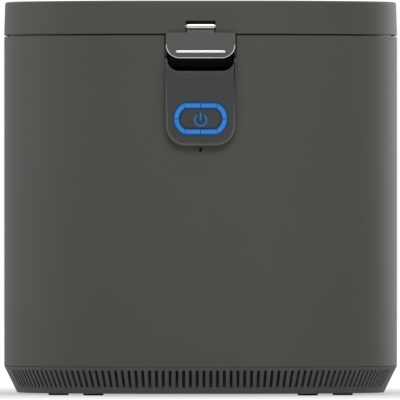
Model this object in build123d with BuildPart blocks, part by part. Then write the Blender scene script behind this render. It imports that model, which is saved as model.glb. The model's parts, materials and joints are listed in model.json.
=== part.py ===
from build123d import *
from math import acos, asin, atan, cos, degrees, hypot, pi, radians, sin, tan
import os

os.makedirs("parts", exist_ok=True)

# Countertop food waste composter, in millimetres. +Z is up, the front faces -Y,
# and the origin is on the table under the middle of the machine.

# Body
body_width = 330.0
body_depth = 350.0
total_height = 329.3
corner_radius = 131.0
proud = 6.0  # how far the panel, the rear cover and the hinge stand out
wall = 3.0
base_z = 1.6  # underside of the tray, one foot height above the table
chamfer_top = 23.3
chamfer_inset = 11.0
shadow_gap = 0.7  # between the tray and the casing
casing_z = chamfer_top + shadow_gap
casing_top = 300.6
lid_z = 301.9
lid_taper = 0.8  # how far the lid draws in towards its top
deck_thickness = 3.0
deck_z = casing_top - deck_thickness
front_y = -body_depth / 2
rear_y = body_depth / 2
corner_x = body_width / 2 - corner_radius
corner_y = body_depth / 2 - corner_radius
slope = chamfer_inset / (chamfer_top - base_z)  # of the tray's chamfered wall

# Vents of the tray
slot_pitch = 5.65
slot_width = 2.5
slot_low = 6.4
slot_high = 21.2
slots_each_side = 35  # of the middle of the front, and again at the rear

# Feet: two pairs under the front edge and two under the rear one
foot_r = 8.5
foot_places = [(118.8, 110.0), (89.5, 133.0)]
foot_stem_r = 3.0
stem_clearance = 0.1

# Latch and front strip
strip_width = 58.1
latch_y = front_y + 3.5  # latch pin axis
latch_z = 307.7
latch_slot_width = 25.0
latch_slot_top = 312.6
barrel_r = 3.0
barrel_width = 23.0
plate_width = 57.3
plate_low = 281.1
plate_high = 302.6
plate_corner = 11.4
plate_room = 1.75
plate_thickness = 3.0
plate_gap = 0.5  # between the latch plate and the body
plate_back = front_y - plate_gap
plate_front = plate_back - plate_thickness
nose_low = 291.5
nose_high = 294.5
nose_back = front_y + 6.4
notch_width = 15.0

# Control panel
panel_low = 208.4
panel_high = 281.0
panel_corner = 16.7
panel_skin = 2.0
panel_front = front_y - proud
scoop_low = 270.7
scoop_high = 288.0
scoop_corner = 8.0
scoop_width = 55.8
scoop_depth = 14.0
scoop_wall = 1.15
ring_z = 230.9
ring_bar_half = 13.55  # from the middle to the outer end of a straight segment
ring_bar_z = 10.9
ring_stroke = 3.85
ring_arc_x = 8.1
ring_arc_r = 12.0
ring_split = 0.6
button_half = 17.0
button_height = 16.2
post_r = 2.0
post_places = [(x, z) for x in (-17.8, 17.8) for z in (217.4, 258.0)]  # under the board
board_y = front_y + 5.0  # front face of the control board

# Rear hinge
hinge_y = rear_y + 2.0
hinge_z = 301.25
knuckle_r = proud - 2.0
knuckle_room = 0.4
lid_knuckle = 23.0
side_knuckle = 18.0
pin_r = 1.5
pin_clearance = 0.05

# Bucket and drive, on one vertical axis
well_y = -38.0
well_r = 110.0
well_low = 116.0
sheet = 2.0  # wall of the well and of the filter chamber
bucket_top_r = 105.0
bucket_low_r = 100.0
bucket_wall = 2.5
bucket_low = 127.0
bucket_high = 292.0
bucket_floor = 4.0
hub_top = 176.0
shaft_r = 6.0
spindle_r = 5.0
slow_module = 2.0
fast_module = 1.25
big_teeth = 60
small_teeth = 12
slow_distance = slow_module * (big_teeth + small_teeth) / 2
fast_distance = fast_module * (big_teeth + small_teeth) / 2
idler_y = well_y + slow_distance
motor_y = idler_y + fast_distance
gearbox_low = 8.0
slow_low = 13.5
slow_width = 11.0
fast_low = 28.0
fast_width = 8.0
cover_low = 39.0
cover_high = 42.0
motor_r = 28.0
motor_high = 100.0
idler_shaft_r = 4.0
motor_shaft_r = 2.5

# Air path at the rear
duct_y = 87.0
duct_depth = 16.0
duct_width = 40.0
plenum_low = 102.0
plenum_high = 111.0
fan_y = 133.0
fan_r = 35.0
fan_high = 145.0
filter_x = 30.5
filter_y = 128.0
filter_r = 27.5
chamber_half = 61.5
chamber_front = 96.0
chamber_rear = 168.5
chamber_high = 277.0
cover_half = 68.0
cover_bottom = 138.0
cover_top = 284.0
cover_skin = 2.4
opening_half = 60.0
opening_low = 146.0
opening_high = 276.0

# Power inlet
inlet_z = 52.0
inlet_body = (27.2, 20.6)
inlet_socket = (24.4, 16.8)
inlet_flange = (31.0, 24.6)

front = Plane.XZ.offset(-front_y)  # its Z axis points out of the front
rear = Plane.XZ.offset(-rear_y)
well_axis = Axis((0, well_y, 0), (0, 0, 1))


def outline(inset, mode=Mode.ADD):
    """Plan of the body, drawn inset millimetres inside its outer face."""
    return RectangleRounded(
        body_width - 2 * inset, body_depth - 2 * inset, corner_radius - inset, mode=mode
    )


def band(outer_inset, inner_inset):
    """Closed band of the body's plan, between two insets."""
    outline(outer_inset)
    outline(inner_inset, mode=Mode.SUBTRACT)


def drum(z_low, z_high, radius, x=0.0, y=0.0, mode=Mode.ADD):
    """Upright cylinder between two heights."""
    with Locations((x, y, (z_low + z_high) / 2)):
        Cylinder(radius, z_high - z_low, mode=mode)


def block(low, high, mode=Mode.ADD):
    """Box between two opposite corners."""
    middle = [(a + b) / 2 for a, b in zip(low, high)]
    size = [b - a for a, b in zip(low, high)]
    with Locations(tuple(middle)):
        Box(*size, mode=mode)


def rod(x_low, x_high, radius, y, z, mode=Mode.ADD):
    """Cylinder along X."""
    with Locations(Location(((x_low + x_high) / 2, y, z), (0, 90, 0))):
        Cylinder(radius, x_high - x_low, mode=mode)


# Tray: floor and chamfered wall in one moulding, pierced by a row of vent slots


def slot_places():
    """Places of the slots at mid height, each with its Z axis out of the wall."""
    middle_z = (slot_low + slot_high) / 2
    radius = corner_radius - (chamfer_top - middle_z) * slope
    places = []
    for index in range(slots_each_side):
        run = (index + 0.5) * slot_pitch
        angle = max(0.0, run - corner_x) / radius
        x = min(run, corner_x) + radius * sin(angle)
        y = -corner_y - radius * cos(angle)
        for side in (1, -1):
            for end, spin in ((1, degrees(angle)), (-1, 180 - degrees(angle))):
                upright = Location((side * x, end * y, middle_z), (0, 0, side * spin))
                places.append(upright * Location((0, 0, 0), (90 + degrees(atan(slope)), 0, 0)))
    return places


lap = 0.2  # clearance of the tray's rim inside the casing
baffle_inset = 13.3
with BuildPart() as base_tray:
    with BuildSketch(Plane.XY.offset(base_z)):
        outline(chamfer_inset)
    with BuildSketch(Plane.XY.offset(chamfer_top)):
        outline(0)
    loft(ruled=True)
    with BuildSketch(Plane.XY.offset(base_z + wall)):
        outline((chamfer_top - base_z - wall) * slope + 1.1 * wall)
    with BuildSketch(Plane.XY.offset(chamfer_top)):
        outline(1.1 * wall)
    loft(ruled=True, mode=Mode.SUBTRACT)
    with BuildSketch(Plane.XY.offset(chamfer_top)):  # shoulder that carries the casing
        band(wall / 2, 1.7 * wall)
    extrude(amount=shadow_gap)
    with BuildSketch(Plane.XY.offset(chamfer_top - wall)):  # rim inside the casing
        band(wall + lap, wall + lap + 2)
    extrude(amount=3 * wall)
    with Locations(*slot_places()):
        Box(slot_width, (slot_high - slot_low) * hypot(1, slope), 7, mode=Mode.SUBTRACT)
    with BuildSketch(Plane.XY.offset(base_z + wall / 2)):  # baffle behind the slots
        band(baffle_inset, baffle_inset + 1.5)
    extrude(amount=slot_high - base_z - wall / 2)
    for x, y in foot_places:
        for place in ((x, y), (-x, y), (x, -y), (-x, -y)):
            drum(0, 3 * wall, foot_stem_r + stem_clearance, *place, mode=Mode.SUBTRACT)
    for x, y in ((-52, well_y), (52, well_y), (-30, idler_y), (30, idler_y), (0, -96)):
        drum(base_z + wall / 2, gearbox_low, 5, x, y)
    for x in (95, 129):
        for y in (-38, 38):
            drum(base_z + wall / 2, 20, 3, x, y)
base_tray.part.label = "base_tray"
export_step(base_tray.part, "parts/base_tray.step")

with BuildPart() as rubber_feet:
    for x, y in foot_places:
        for place in ((x, y), (-x, y), (x, -y), (-x, -y)):
            drum(0, base_z, foot_r, *place)
            drum(0, base_z + wall + 1, foot_stem_r, *place)
rubber_feet.part.label = "rubber_feet"
export_step(rubber_feet.part, "parts/rubber_feet.step")

# Casing: one moulded wall, open at both ends
scoop_outer = scoop_width + 2 * scoop_wall
with BuildPart() as outer_casing:
    with BuildSketch(Plane.XY.offset(casing_z)):
        band(0, wall)
    extrude(amount=casing_top - casing_z)
    with BuildSketch(Plane.XY.offset(deck_z - wall)):  # ledge under the deck
        band(wall, wall + 2.5)
    extrude(amount=wall)
    for x in (-1, 1):  # outer barrels of the hinge
        rod(*sorted((x * (lid_knuckle / 2 + 0.5), x * (lid_knuckle / 2 + side_knuckle))),
            knuckle_r, hinge_y, hinge_z)
    rod(-lid_knuckle / 2 - 0.5, lid_knuckle / 2 + 0.5, knuckle_r + knuckle_room,
        hinge_y, hinge_z, mode=Mode.SUBTRACT)
    rod(-lid_knuckle * 2, lid_knuckle * 2, pin_r, hinge_y, hinge_z, mode=Mode.SUBTRACT)
    with BuildSketch(front):
        with Locations((0, (214 + 262) / 2)):
            RectangleRounded(42, 262 - 214, 4)
        with Locations((0, (scoop_low + scoop_high) / 2)):
            RectangleRounded(scoop_outer, scoop_high - scoop_low + 2 * scoop_wall, scoop_corner)
        with Locations((0, (panel_low - 1.3) - 1.85)):  # drain slit under the panel
            Rectangle(1.3, 3.7)
    extrude(amount=-2 * wall, mode=Mode.SUBTRACT)
    block((-plate_width / 2 - plate_room, front_y - 1, plate_low),  # recess round the latch plate
          (plate_width / 2 + plate_room, front_y + wall / 2, casing_top + 1), mode=Mode.SUBTRACT)
    block((-notch_width / 2, front_y - 1, nose_low - 1.5),
          (notch_width / 2, front_y + 7, casing_top + 1), mode=Mode.SUBTRACT)
    with BuildSketch(rear):
        with Locations((0, (opening_low + opening_high) / 2)):
            RectangleRounded(2 * opening_half, opening_high - opening_low, 12)
        with Locations((0, inlet_z)):
            Rectangle(*inlet_body)
    extrude(amount=4 * wall, both=True, mode=Mode.SUBTRACT)
outer_casing.part.label = "outer_casing"
export_step(outer_casing.part, "parts/outer_casing.step")

# Deck round the bucket's mouth, with a raised rim that hides in the lid
with BuildPart() as top_deck:
    with BuildSketch(Plane.XY.offset(deck_z)):
        outline(wall + 0.1)
        with Locations((0, well_y)):
            Circle(well_r + 4, mode=Mode.SUBTRACT)
        with Locations((0, duct_y)):
            RectangleRounded(duct_width - 6, duct_depth - 6, 3, mode=Mode.SUBTRACT)
    extrude(amount=deck_thickness)
    with BuildSketch(Plane.XY.offset(casing_top)):
        band(5, 8)
    extrude(amount=3.9)
    block((-notch_width / 2 - 0.5, front_y, deck_z - 1),
          (notch_width / 2 + 0.5, front_y + 8.5, casing_top + 5), mode=Mode.SUBTRACT)
    block((-21, front_y, casing_top), (21, front_y + 8.5, casing_top + 5), mode=Mode.SUBTRACT)
top_deck.part.label = "top_deck"
export_step(top_deck.part, "parts/top_deck.step")

with BuildPart() as intake_grille:
    with BuildSketch(Plane.XY.offset(casing_top)):
        with Locations((0, duct_y)):
            RectangleRounded(duct_width + 4, duct_depth - 3, 3)
            with GridLocations(4.6, 0, 7, 1):
                SlotOverall(9, 2.2, rotation=90, mode=Mode.SUBTRACT)
    extrude(amount=1.4)
intake_grille.part.label = "intake_grille"
export_step(intake_grille.part, "parts/intake_grille.step")

deck_screw_places = [(a * pi / 180, r) for a, r in ((50, 152), (130, 152), (230, 152), (310, 152))]
with BuildPart() as deck_screws:
    for angle, reach in deck_screw_places:
        drum(casing_top, casing_top + 1.8, 3.2, reach * cos(angle), reach * sin(angle))
deck_screws.part.label = "deck_screws"
export_step(deck_screws.part, "parts/deck_screws.step")

# Finger scoop: black pocket behind the lower half of the latch plate
with BuildPart() as finger_scoop:
    with BuildSketch(front):
        with Locations((0, (scoop_low + scoop_high) / 2)):
            RectangleRounded(scoop_outer, scoop_high - scoop_low + 2 * scoop_wall, scoop_corner)
    extrude(amount=-scoop_depth - scoop_wall)
    with BuildSketch(front):
        with Locations((0, (scoop_low + scoop_high) / 2)):
            RectangleRounded(scoop_width, scoop_high - scoop_low, scoop_corner - scoop_wall)
    extrude(amount=-scoop_depth, mode=Mode.SUBTRACT)
    pocket_end = front_y + scoop_depth
    chamfer(finger_scoop.edges().filter_by_position(Axis.Y, pocket_end - 0.01, pocket_end + 0.01), 3)
finger_scoop.part.label = "finger_scoop"
export_step(finger_scoop.part, "parts/finger_scoop.step")


# Light ring: four bars and four arcs, with a dark split between neighbours


def ring_arcs(trim):
    """The four curved segments, trimmed evenly all round."""
    cut_x = ring_bar_half + ring_split / 2 + trim - ring_arc_x
    cut_z = ring_split / 2 + trim
    radii = (ring_arc_r - ring_stroke / 2 + trim, ring_arc_r + ring_stroke / 2 - trim)
    for side in (1, -1):
        for end in (1, -1):
            with BuildLine(mode=Mode.PRIVATE) as edge:
                arcs = []
                for radius in radii:
                    angles = (asin(cut_z / radius), pi / 6, acos(cut_x / radius))
                    arcs.append(ThreePointArc(*[
                        (side * (ring_arc_x + radius * cos(a)), ring_z + end * radius * sin(a))
                        for a in angles
                    ]))
                Line(arcs[0] @ 0, arcs[1] @ 0)
                Line(arcs[0] @ 1, arcs[1] @ 1)
            make_face(edge.edges())


def ring_bars(trim):
    """The four straight segments, trimmed evenly all round."""
    length = ring_bar_half - ring_split / 2
    for side in (1, -1):
        for end in (1, -1):
            with Locations((side * (length + ring_split) / 2, ring_z + end * ring_bar_z)):
                Rectangle(length - 2 * trim, ring_stroke - 2 * trim)


# Control panel: hollow tongue with eight light windows round the button
with BuildPart() as control_panel:
    with BuildSketch(front) as tongue:
        with Locations((0, (panel_low + panel_high) / 2)):
            Rectangle(strip_width, panel_high - panel_low)
        fillet(tongue.vertices().group_by(Axis.Y)[0], panel_corner)
    extrude(amount=proud)
    fillet(control_panel.faces().sort_by(Axis.Y)[0].edges().sort_by(Axis.Z)[:-1], 1.0)
    with BuildSketch(front) as hollow:
        with Locations((0, (panel_low + 267) / 2)):
            Rectangle(strip_width - 2 * panel_skin, 267 - panel_low - 2 * panel_skin)
        fillet(hollow.vertices().group_by(Axis.Y)[0], panel_corner - panel_skin)
    extrude(amount=proud - panel_skin, mode=Mode.SUBTRACT)
    with BuildSketch(front) as mouth:
        with Locations((0, (scoop_low + panel_high + 5) / 2)):
            Rectangle(scoop_width, panel_high + 5 - scoop_low)
        fillet(mouth.vertices().group_by(Axis.Y)[0], scoop_corner)
    extrude(amount=proud, mode=Mode.SUBTRACT)
    for x, z in post_places:
        middle = (panel_front + panel_skin / 2 + board_y) / 2
        with Locations(Location((x, middle, z), (90, 0, 0))):
            Cylinder(post_r, board_y - panel_front - panel_skin / 2)
    with BuildSketch(front.offset(proud)):
        with Locations((0, ring_z)):
            SlotOverall(2 * button_half + 0.4, button_height + 0.4)
        ring_bars(0)
        ring_arcs(0)
    extrude(amount=-1.5 * panel_skin, mode=Mode.SUBTRACT)
control_panel.part.label = "control_panel"
export_step(control_panel.part, "parts/control_panel.step")

guide_back = panel_front + panel_skin + 1.2
with BuildPart() as light_guide:
    with BuildSketch(Plane.XZ.offset(-guide_back)):
        with Locations((0, ring_z)):
            SlotOverall(2 * (ring_arc_x + ring_arc_r + ring_stroke / 2), 2 * (ring_bar_z + ring_stroke / 2))
            SlotOverall(2 * button_half + 1.6, button_height + 1.6, mode=Mode.SUBTRACT)
    extrude(amount=guide_back - panel_front - panel_skin)
    with BuildSketch(Plane.XZ.offset(-guide_back)):
        ring_bars(0.05)
        ring_arcs(0.05)
    extrude(amount=guide_back - panel_front - 0.15)
light_guide.part.label = "light_guide"
export_step(light_guide.part, "parts/light_guide.step")

flange_y = guide_back + 1.0
with BuildPart() as power_button:
    with BuildSketch(front.offset(proud)):
        with Locations((0, ring_z)):
            SlotOverall(2 * button_half, button_height)
    extrude(amount=panel_front - flange_y)
    chamfer(power_button.faces().sort_by(Axis.Y)[0].edges(), 0.4)
    with BuildSketch(Plane.XZ.offset(-flange_y)):
        with Locations((0, ring_z)):
            SlotOverall(2 * button_half + 3.2, button_height + 3.2)
    extrude(amount=-1.0)
power_button.part.label = "power_button"
export_step(power_button.part, "parts/power_button.step")

stem_end = flange_y + 1.0
switch_front = board_y - 3.4
with BuildPart() as switch_plunger:
    with BuildSketch(Plane.XZ.offset(-stem_end)):
        with Locations((0, ring_z)):
            Circle(1.6)
    extrude(amount=-(board_y - 2.2 - stem_end))
switch_plunger.part.label = "switch_plunger"
export_step(switch_plunger.part, "parts/switch_plunger.step")

with BuildPart() as tact_switch:
    with BuildSketch(Plane.XZ.offset(-board_y)):
        with Locations((0, ring_z)):
            RectangleRounded(6, 6, 0.5)
    extrude(amount=board_y - switch_front)
    with BuildSketch(Plane.XZ.offset(-switch_front)):
        with Locations((0, ring_z)):
            Circle(1.65)
    extrude(amount=-2.2, mode=Mode.SUBTRACT)
tact_switch.part.label = "tact_switch"
export_step(tact_switch.part, "parts/tact_switch.step")


def coil(mean_r, wire, length, turns, place, direction):
    """Square wire wound on a helix that starts at place and runs along direction."""
    with BuildLine():
        path = Helix(length / turns, length, mean_r, center=place, direction=direction)
    with BuildSketch(Plane(path @ 0, z_dir=path % 0)) as section:
        Rectangle(wire, wire)
    sweep(section.sketch, path=path, is_frenet=True)


button_coil_r = 5.2
button_wire = 0.5
with BuildPart() as button_spring:
    coil(button_coil_r, button_wire, board_y - stem_end - button_wire - 0.1, 3,
         (0, stem_end + button_wire / 2 + 0.05, ring_z), (0, 1, 0))
button_spring.part.label = "button_spring"
export_step(button_spring.part, "parts/button_spring.step")

board_thickness = 1.6
with BuildPart() as control_board:
    with BuildSketch(Plane.XZ.offset(-board_y)):
        with Locations((0, 238)):
            RectangleRounded(41, 46, 2)
    extrude(amount=-board_thickness)
control_board.part.label = "control_board"
export_step(control_board.part, "parts/control_board.step")

with BuildPart() as ring_leds:
    for side in (1, -1):
        for end in (1, -1):
            for x, z in ((side * 7.0, ring_z + end * ring_bar_z), (side * 18.4, ring_z + end * 6.0)):
                block((x - 1.6, board_y - 1.1, z - 1.4), (x + 1.6, board_y, z + 1.4))
ring_leds.part.label = "ring_leds"
export_step(ring_leds.part, "parts/ring_leds.step")

with BuildPart() as board_screws:
    for x, z in post_places:
        with Locations(Location((x, board_y + board_thickness + 0.8, z), (90, 0, 0))):
            Cylinder(2.3, 1.6)
board_screws.part.label = "board_screws"
export_step(board_screws.part, "parts/board_screws.step")

# Well: sheet vessel that holds the bucket, with the shaft's bearing under its floor


def turned(points, mode=Mode.ADD):
    """Solid of revolution about the bucket's axis, from (radius, height) points."""
    with BuildSketch(Plane.XZ.offset(-well_y)) as section:
        with BuildLine():
            Polyline(*points, close=True)
        make_face()
    revolve(section.sketch, axis=well_axis, mode=mode)


well_rim = 118.0
flange_top = casing_top + 1.5
bearing_r = 11.0
bearing_length = 8.0
well_hub_low = well_low - 10
with BuildPart() as well:
    turned([
        (bearing_r + 3, well_low), (well_r + sheet, well_low), (well_r + sheet, casing_top),
        (well_rim, casing_top), (well_rim, flange_top), (well_r, flange_top),
        (well_r, well_low + sheet), (shaft_r + 0.5, well_low + sheet),
        (shaft_r + 0.5, well_low), (bearing_r, well_low), (bearing_r, well_hub_low),
        (bearing_r + 3, well_hub_low),
    ])
    chamfer(well.edges().filter_by(GeomType.CIRCLE).group_by(Axis.Z)[-1].sort_by(SortBy.RADIUS)[0], 1.0)
well.part.label = "well"
export_step(well.part, "parts/well.step")

heater_bore = 20.0
with BuildPart() as heater_plate:
    drum(well_low + sheet, bucket_low, 96, 0, well_y)
    drum(well_low + sheet, bucket_low, heater_bore, 0, well_y, mode=Mode.SUBTRACT)
    chamfer(heater_plate.edges().group_by(Axis.Z)[-1], 1.5)
heater_plate.part.label = "heater_plate"
export_step(heater_plate.part, "parts/heater_plate.step")

# Bucket: tapered, with a hub for the spindle, fixed breaker bars and two stub pins
bail_z = 297.0
bail_r = 105.5
stub_r = 2.0
breaker_low = 151.5
with BuildPart() as bucket:
    turned([
        (spindle_r + pin_clearance, bucket_low), (bucket_low_r, bucket_low),
        (bucket_top_r, bucket_high - 2), (bucket_top_r + 3, bucket_high - 2),
        (bucket_top_r + 3, bucket_high), (bucket_top_r - bucket_wall, bucket_high),
        (bucket_low_r - bucket_wall, bucket_low + bucket_floor),
        (10, bucket_low + bucket_floor), (10, 147), (spindle_r + pin_clearance, 147),
    ])
    chamfer(bucket.edges().filter_by(GeomType.CIRCLE).group_by(Axis.Z)[0].sort_by(SortBy.RADIUS)[-1:], 2.5)
    for side in (1, -1):
        block((min(side * 97.5, side * 103), well_y - 5, bucket_high - 9),
              (max(side * 97.5, side * 103), well_y + 5, bail_z + 4))
        rod(min(side * 100, side * 107.5), max(side * 100, side * 107.5), stub_r, well_y, bail_z)
    for turn in (35, 215):  # breaker bars
        with BuildSketch(Plane.XY.offset(breaker_low)):
            with Locations(Location((0, well_y, 0), (0, 0, turn))):
                with Locations((80.5, 0)):
                    Rectangle(39, 9)
        extrude(amount=5)
bucket.part.label = "bucket"
export_step(bucket.part, "parts/bucket.step")

bail_rest_z = bucket_high + stub_r + 0.1
bail_width = 3.0
with BuildPart() as bucket_handle:
    with BuildLine(Plane.XY.offset(bail_rest_z)) as bow:
        CenterArc((0, well_y), bail_r, 180, 180)
    with BuildSketch(Plane((-bail_r, well_y, bail_rest_z), x_dir=(1, 0, 0), z_dir=(0, -1, 0))):
        Rectangle(bail_width, 2 * stub_r)
    sweep(path=bow.line)
    for side in (1, -1):
        rod(side * bail_r - 1.5, side * bail_r + 1.5, 4.6, well_y, bail_z)
    for side in (1, -1):
        rod(side * bail_r - 3, side * bail_r + 3, stub_r + 0.08, well_y, bail_z, mode=Mode.SUBTRACT)
bucket_handle.part.label = "bucket_handle"
export_step(bucket_handle.part, "parts/bucket_handle.step")

# Agitator: a hub over the bucket's bearing, two sweeping arms and two cutters above
arm_low = 133.0
arm_high = 148.5
cutter_low = 158.5
cutter_high = 164.5
with BuildPart() as agitator:
    turned([
        (0, 147.5), (10.8, 147.5), (10.8, arm_low), (23, arm_low), (21, 150), (14, 170),
        (9, hub_top - 1), (6, hub_top), (0, hub_top),
    ])
    for turn in (0, 180):
        with BuildSketch(Plane.XY.offset(arm_low)):
            with BuildLine():
                outer_edge = ThreePointArc((14, 6), (60, 16), (96, -8))
                inner_edge = ThreePointArc((14, -10), (60, 6), (93, -16))
                Line(outer_edge @ 0, inner_edge @ 0)
                Line(outer_edge @ 1, inner_edge @ 1)
            arm = make_face(mode=Mode.PRIVATE)
            add(Location((0, well_y, 0), (0, 0, turn)) * arm)
        extrude(amount=arm_high - arm_low, dir=(0, 0, 1))
        with BuildSketch(Plane.XY.offset(cutter_low)):
            with BuildLine():
                leading = ThreePointArc((4, 12), (14, 40), (40, 58))
                trailing = ThreePointArc((-8, 10), (2, 44), (40, 58))
                Line(leading @ 0, trailing @ 0)
            cutter = make_face(mode=Mode.PRIVATE)
            add(Location((0, well_y, 0), (0, 0, turn)) * cutter)
        extrude(amount=cutter_high - cutter_low, dir=(0, 0, 1))
    drum(147, 165, spindle_r, 0, well_y, mode=Mode.SUBTRACT)
agitator.part.label = "agitator"
export_step(agitator.part, "parts/agitator.step")

# Drive under the well: spindle, coupling, shaft and two gear pairs


def toothed(module, teeth, addendum, backlash, phase=0.0):
    """Outline of an involute spur gear, three points on each flank."""
    pitch_r = module * teeth / 2
    base_r = pitch_r * cos(radians(20))

    def involute(angle):
        return tan(angle) - angle

    def flank(radius):
        pressure = acos(min(1.0, base_r / radius))
        half_tooth = pi / (2 * teeth) - backlash / (4 * pitch_r)
        return half_tooth + involute(radians(20)) - involute(pressure)

    radii = [pitch_r - 1.15 * module, pitch_r - 0.25 * module, pitch_r + addendum * module]
    points = []
    for tooth in range(teeth):
        middle = 2 * pi * tooth / teeth + phase
        for side, order in ((-1, radii), (1, radii[::-1])):
            for radius in order:
                angle = middle + side * flank(radius)
                points.append((radius * cos(angle), radius * sin(angle)))
    return points


def spur(centre_y, z_low, width, bore_r, *shape):
    """Gear with its axis upright on the Y axis of the plan."""
    with BuildSketch(Plane.XY.offset(z_low)) as section:
        with Locations((0, centre_y)):
            with BuildLine(mode=Mode.PRIVATE) as teeth:
                Polyline(*toothed(*shape), close=True)
            add(make_face(teeth.edges(), mode=Mode.PRIVATE))
            if bore_r:
                Circle(bore_r, mode=Mode.SUBTRACT)
    extrude(section.sketch, amount=width)


big_addendum = 0.8
small_addendum = 0.9
slow_backlash = 0.35
fast_backlash = 0.3
web_cut = 3.0

with BuildPart() as agitator_spindle:
    drum(bucket_low - 0.5, 165, spindle_r, 0, well_y)
agitator_spindle.part.label = "agitator_spindle"
export_step(agitator_spindle.part, "parts/agitator_spindle.step")


def lobed(radius, lobe_r, lobes, mode=Mode.ADD):
    """Round dog with even lobes, on the bucket's axis."""
    with Locations((0, well_y)):
        Circle(radius, mode=mode)
        with PolarLocations(radius, lobes):
            Circle(lobe_r, mode=mode)


dog_low = 119.0
dog_high = 126.0
with BuildPart() as drive_dog:
    with BuildSketch(Plane.XY.offset(dog_low)):
        lobed(9, 2.2, 6)
        with Locations((0, well_y)):
            Circle(shaft_r, mode=Mode.SUBTRACT)
    extrude(amount=dog_high - dog_low)
drive_dog.part.label = "drive_dog"
export_step(drive_dog.part, "parts/drive_dog.step")

with BuildPart() as bucket_coupling:
    drum(dog_low + 0.5, bucket_low - 0.5, 15, 0, well_y)
    with BuildSketch(Plane.XY.offset(dog_low)):
        lobed(9.3, 2.5, 6)
    extrude(amount=dog_high - dog_low, mode=Mode.SUBTRACT)
bucket_coupling.part.label = "bucket_coupling"
export_step(bucket_coupling.part, "parts/bucket_coupling.step")

with BuildPart() as output_shaft:
    drum(gearbox_low + 2, dog_high, shaft_r, 0, well_y)
    chamfer(output_shaft.edges().group_by(Axis.Z)[-1], 0.8)
output_shaft.part.label = "output_shaft"
export_step(output_shaft.part, "parts/output_shaft.step")

lower_bearing = (gearbox_low + 1, slow_low - 1)
upper_bearing = (cover_low + 1, cover_low + 1 + bearing_length)
with BuildPart() as shaft_bearings:
    for low, high in (lower_bearing, upper_bearing, (well_hub_low, well_low - 3)):
        drum(low, high, bearing_r, 0, well_y)
        drum(low, high, shaft_r + pin_clearance, 0, well_y, mode=Mode.SUBTRACT)
shaft_bearings.part.label = "shaft_bearings"
export_step(shaft_bearings.part, "parts/shaft_bearings.step")

with BuildPart() as shaft_seal:
    turned([
        (shaft_r + pin_clearance, well_low - 3), (bearing_r, well_low - 3), (bearing_r, well_low),
        (8.5, well_low), (7.5, well_low - 1.2), (shaft_r + pin_clearance, well_low - 0.4),
    ])
shaft_seal.part.label = "shaft_seal"
export_step(shaft_seal.part, "parts/shaft_seal.step")

with BuildPart() as output_gear:
    spur(well_y, slow_low, slow_width, shaft_r, slow_module, big_teeth, big_addendum, slow_backlash)
    for low in (slow_low, slow_low + slow_width - web_cut):
        with BuildSketch(Plane.XY.offset(low)):
            with Locations((0, well_y)):
                Circle(50)
                Circle(14, mode=Mode.SUBTRACT)
        extrude(amount=web_cut, mode=Mode.SUBTRACT)
output_gear.part.label = "output_gear"
export_step(output_gear.part, "parts/output_gear.step")

# A tooth of the big gear points at the axis of the small one, which shows it a gap
facing = pi / 2
gap = pi / small_teeth - pi / 2
with BuildPart() as cluster_gear:
    spur(idler_y, slow_low - 0.5, slow_width + 1, idler_shaft_r + pin_clearance,
         slow_module, small_teeth, small_addendum, slow_backlash, gap)
    drum(slow_low + slow_width + 0.5, fast_low, 10.5, 0, idler_y)
    spur(idler_y, fast_low, fast_width, idler_shaft_r + pin_clearance,
         fast_module, big_teeth, big_addendum, fast_backlash, facing)
    drum(slow_low, cover_low, idler_shaft_r + pin_clearance, 0, idler_y, mode=Mode.SUBTRACT)
cluster_gear.part.label = "cluster_gear"
export_step(cluster_gear.part, "parts/cluster_gear.step")

with BuildPart() as idler_shaft:
    drum(gearbox_low + 1.5, cover_high - 1, idler_shaft_r, 0, idler_y)
idler_shaft.part.label = "idler_shaft"
export_step(idler_shaft.part, "parts/idler_shaft.step")

with BuildPart() as motor_pinion:
    spur(motor_y, fast_low - 0.5, fast_width + 1, motor_shaft_r,
         fast_module, small_teeth, small_addendum, fast_backlash, gap)
motor_pinion.part.label = "motor_pinion"
export_step(motor_pinion.part, "parts/motor_pinion.step")

with BuildPart() as motor_shaft:
    drum(fast_low - 4, motor_high - 6, motor_shaft_r, 0, motor_y)
motor_shaft.part.label = "motor_shaft"
export_step(motor_shaft.part, "parts/motor_shaft.step")

with BuildPart() as motor:
    drum(cover_high, motor_high, motor_r, 0, motor_y)
    chamfer(motor.edges().group_by(Axis.Z)[-1], 2.5)
    drum(cover_low, motor_high - 5, motor_shaft_r + pin_clearance, 0, motor_y, mode=Mode.SUBTRACT)
    with BuildSketch(Plane.XY.offset(motor_high - 14)):  # cooling slots near the top
        with Locations((0, motor_y)):
            with PolarLocations(motor_r, 10):
                Rectangle(6, 5)
    extrude(amount=9, mode=Mode.SUBTRACT)
motor.part.label = "motor"
export_step(motor.part, "parts/motor.step")


def gearbox_plan(grow):
    """Plan that wraps the three gear axes."""
    with BuildSketch() as rounds:
        for y, radius in ((well_y, 66), (idler_y, 43), (motor_y, 29)):
            with Locations((0, y)):
                Circle(radius + grow)
    return make_hull(rounds.edges(), mode=Mode.PRIVATE)


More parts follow.
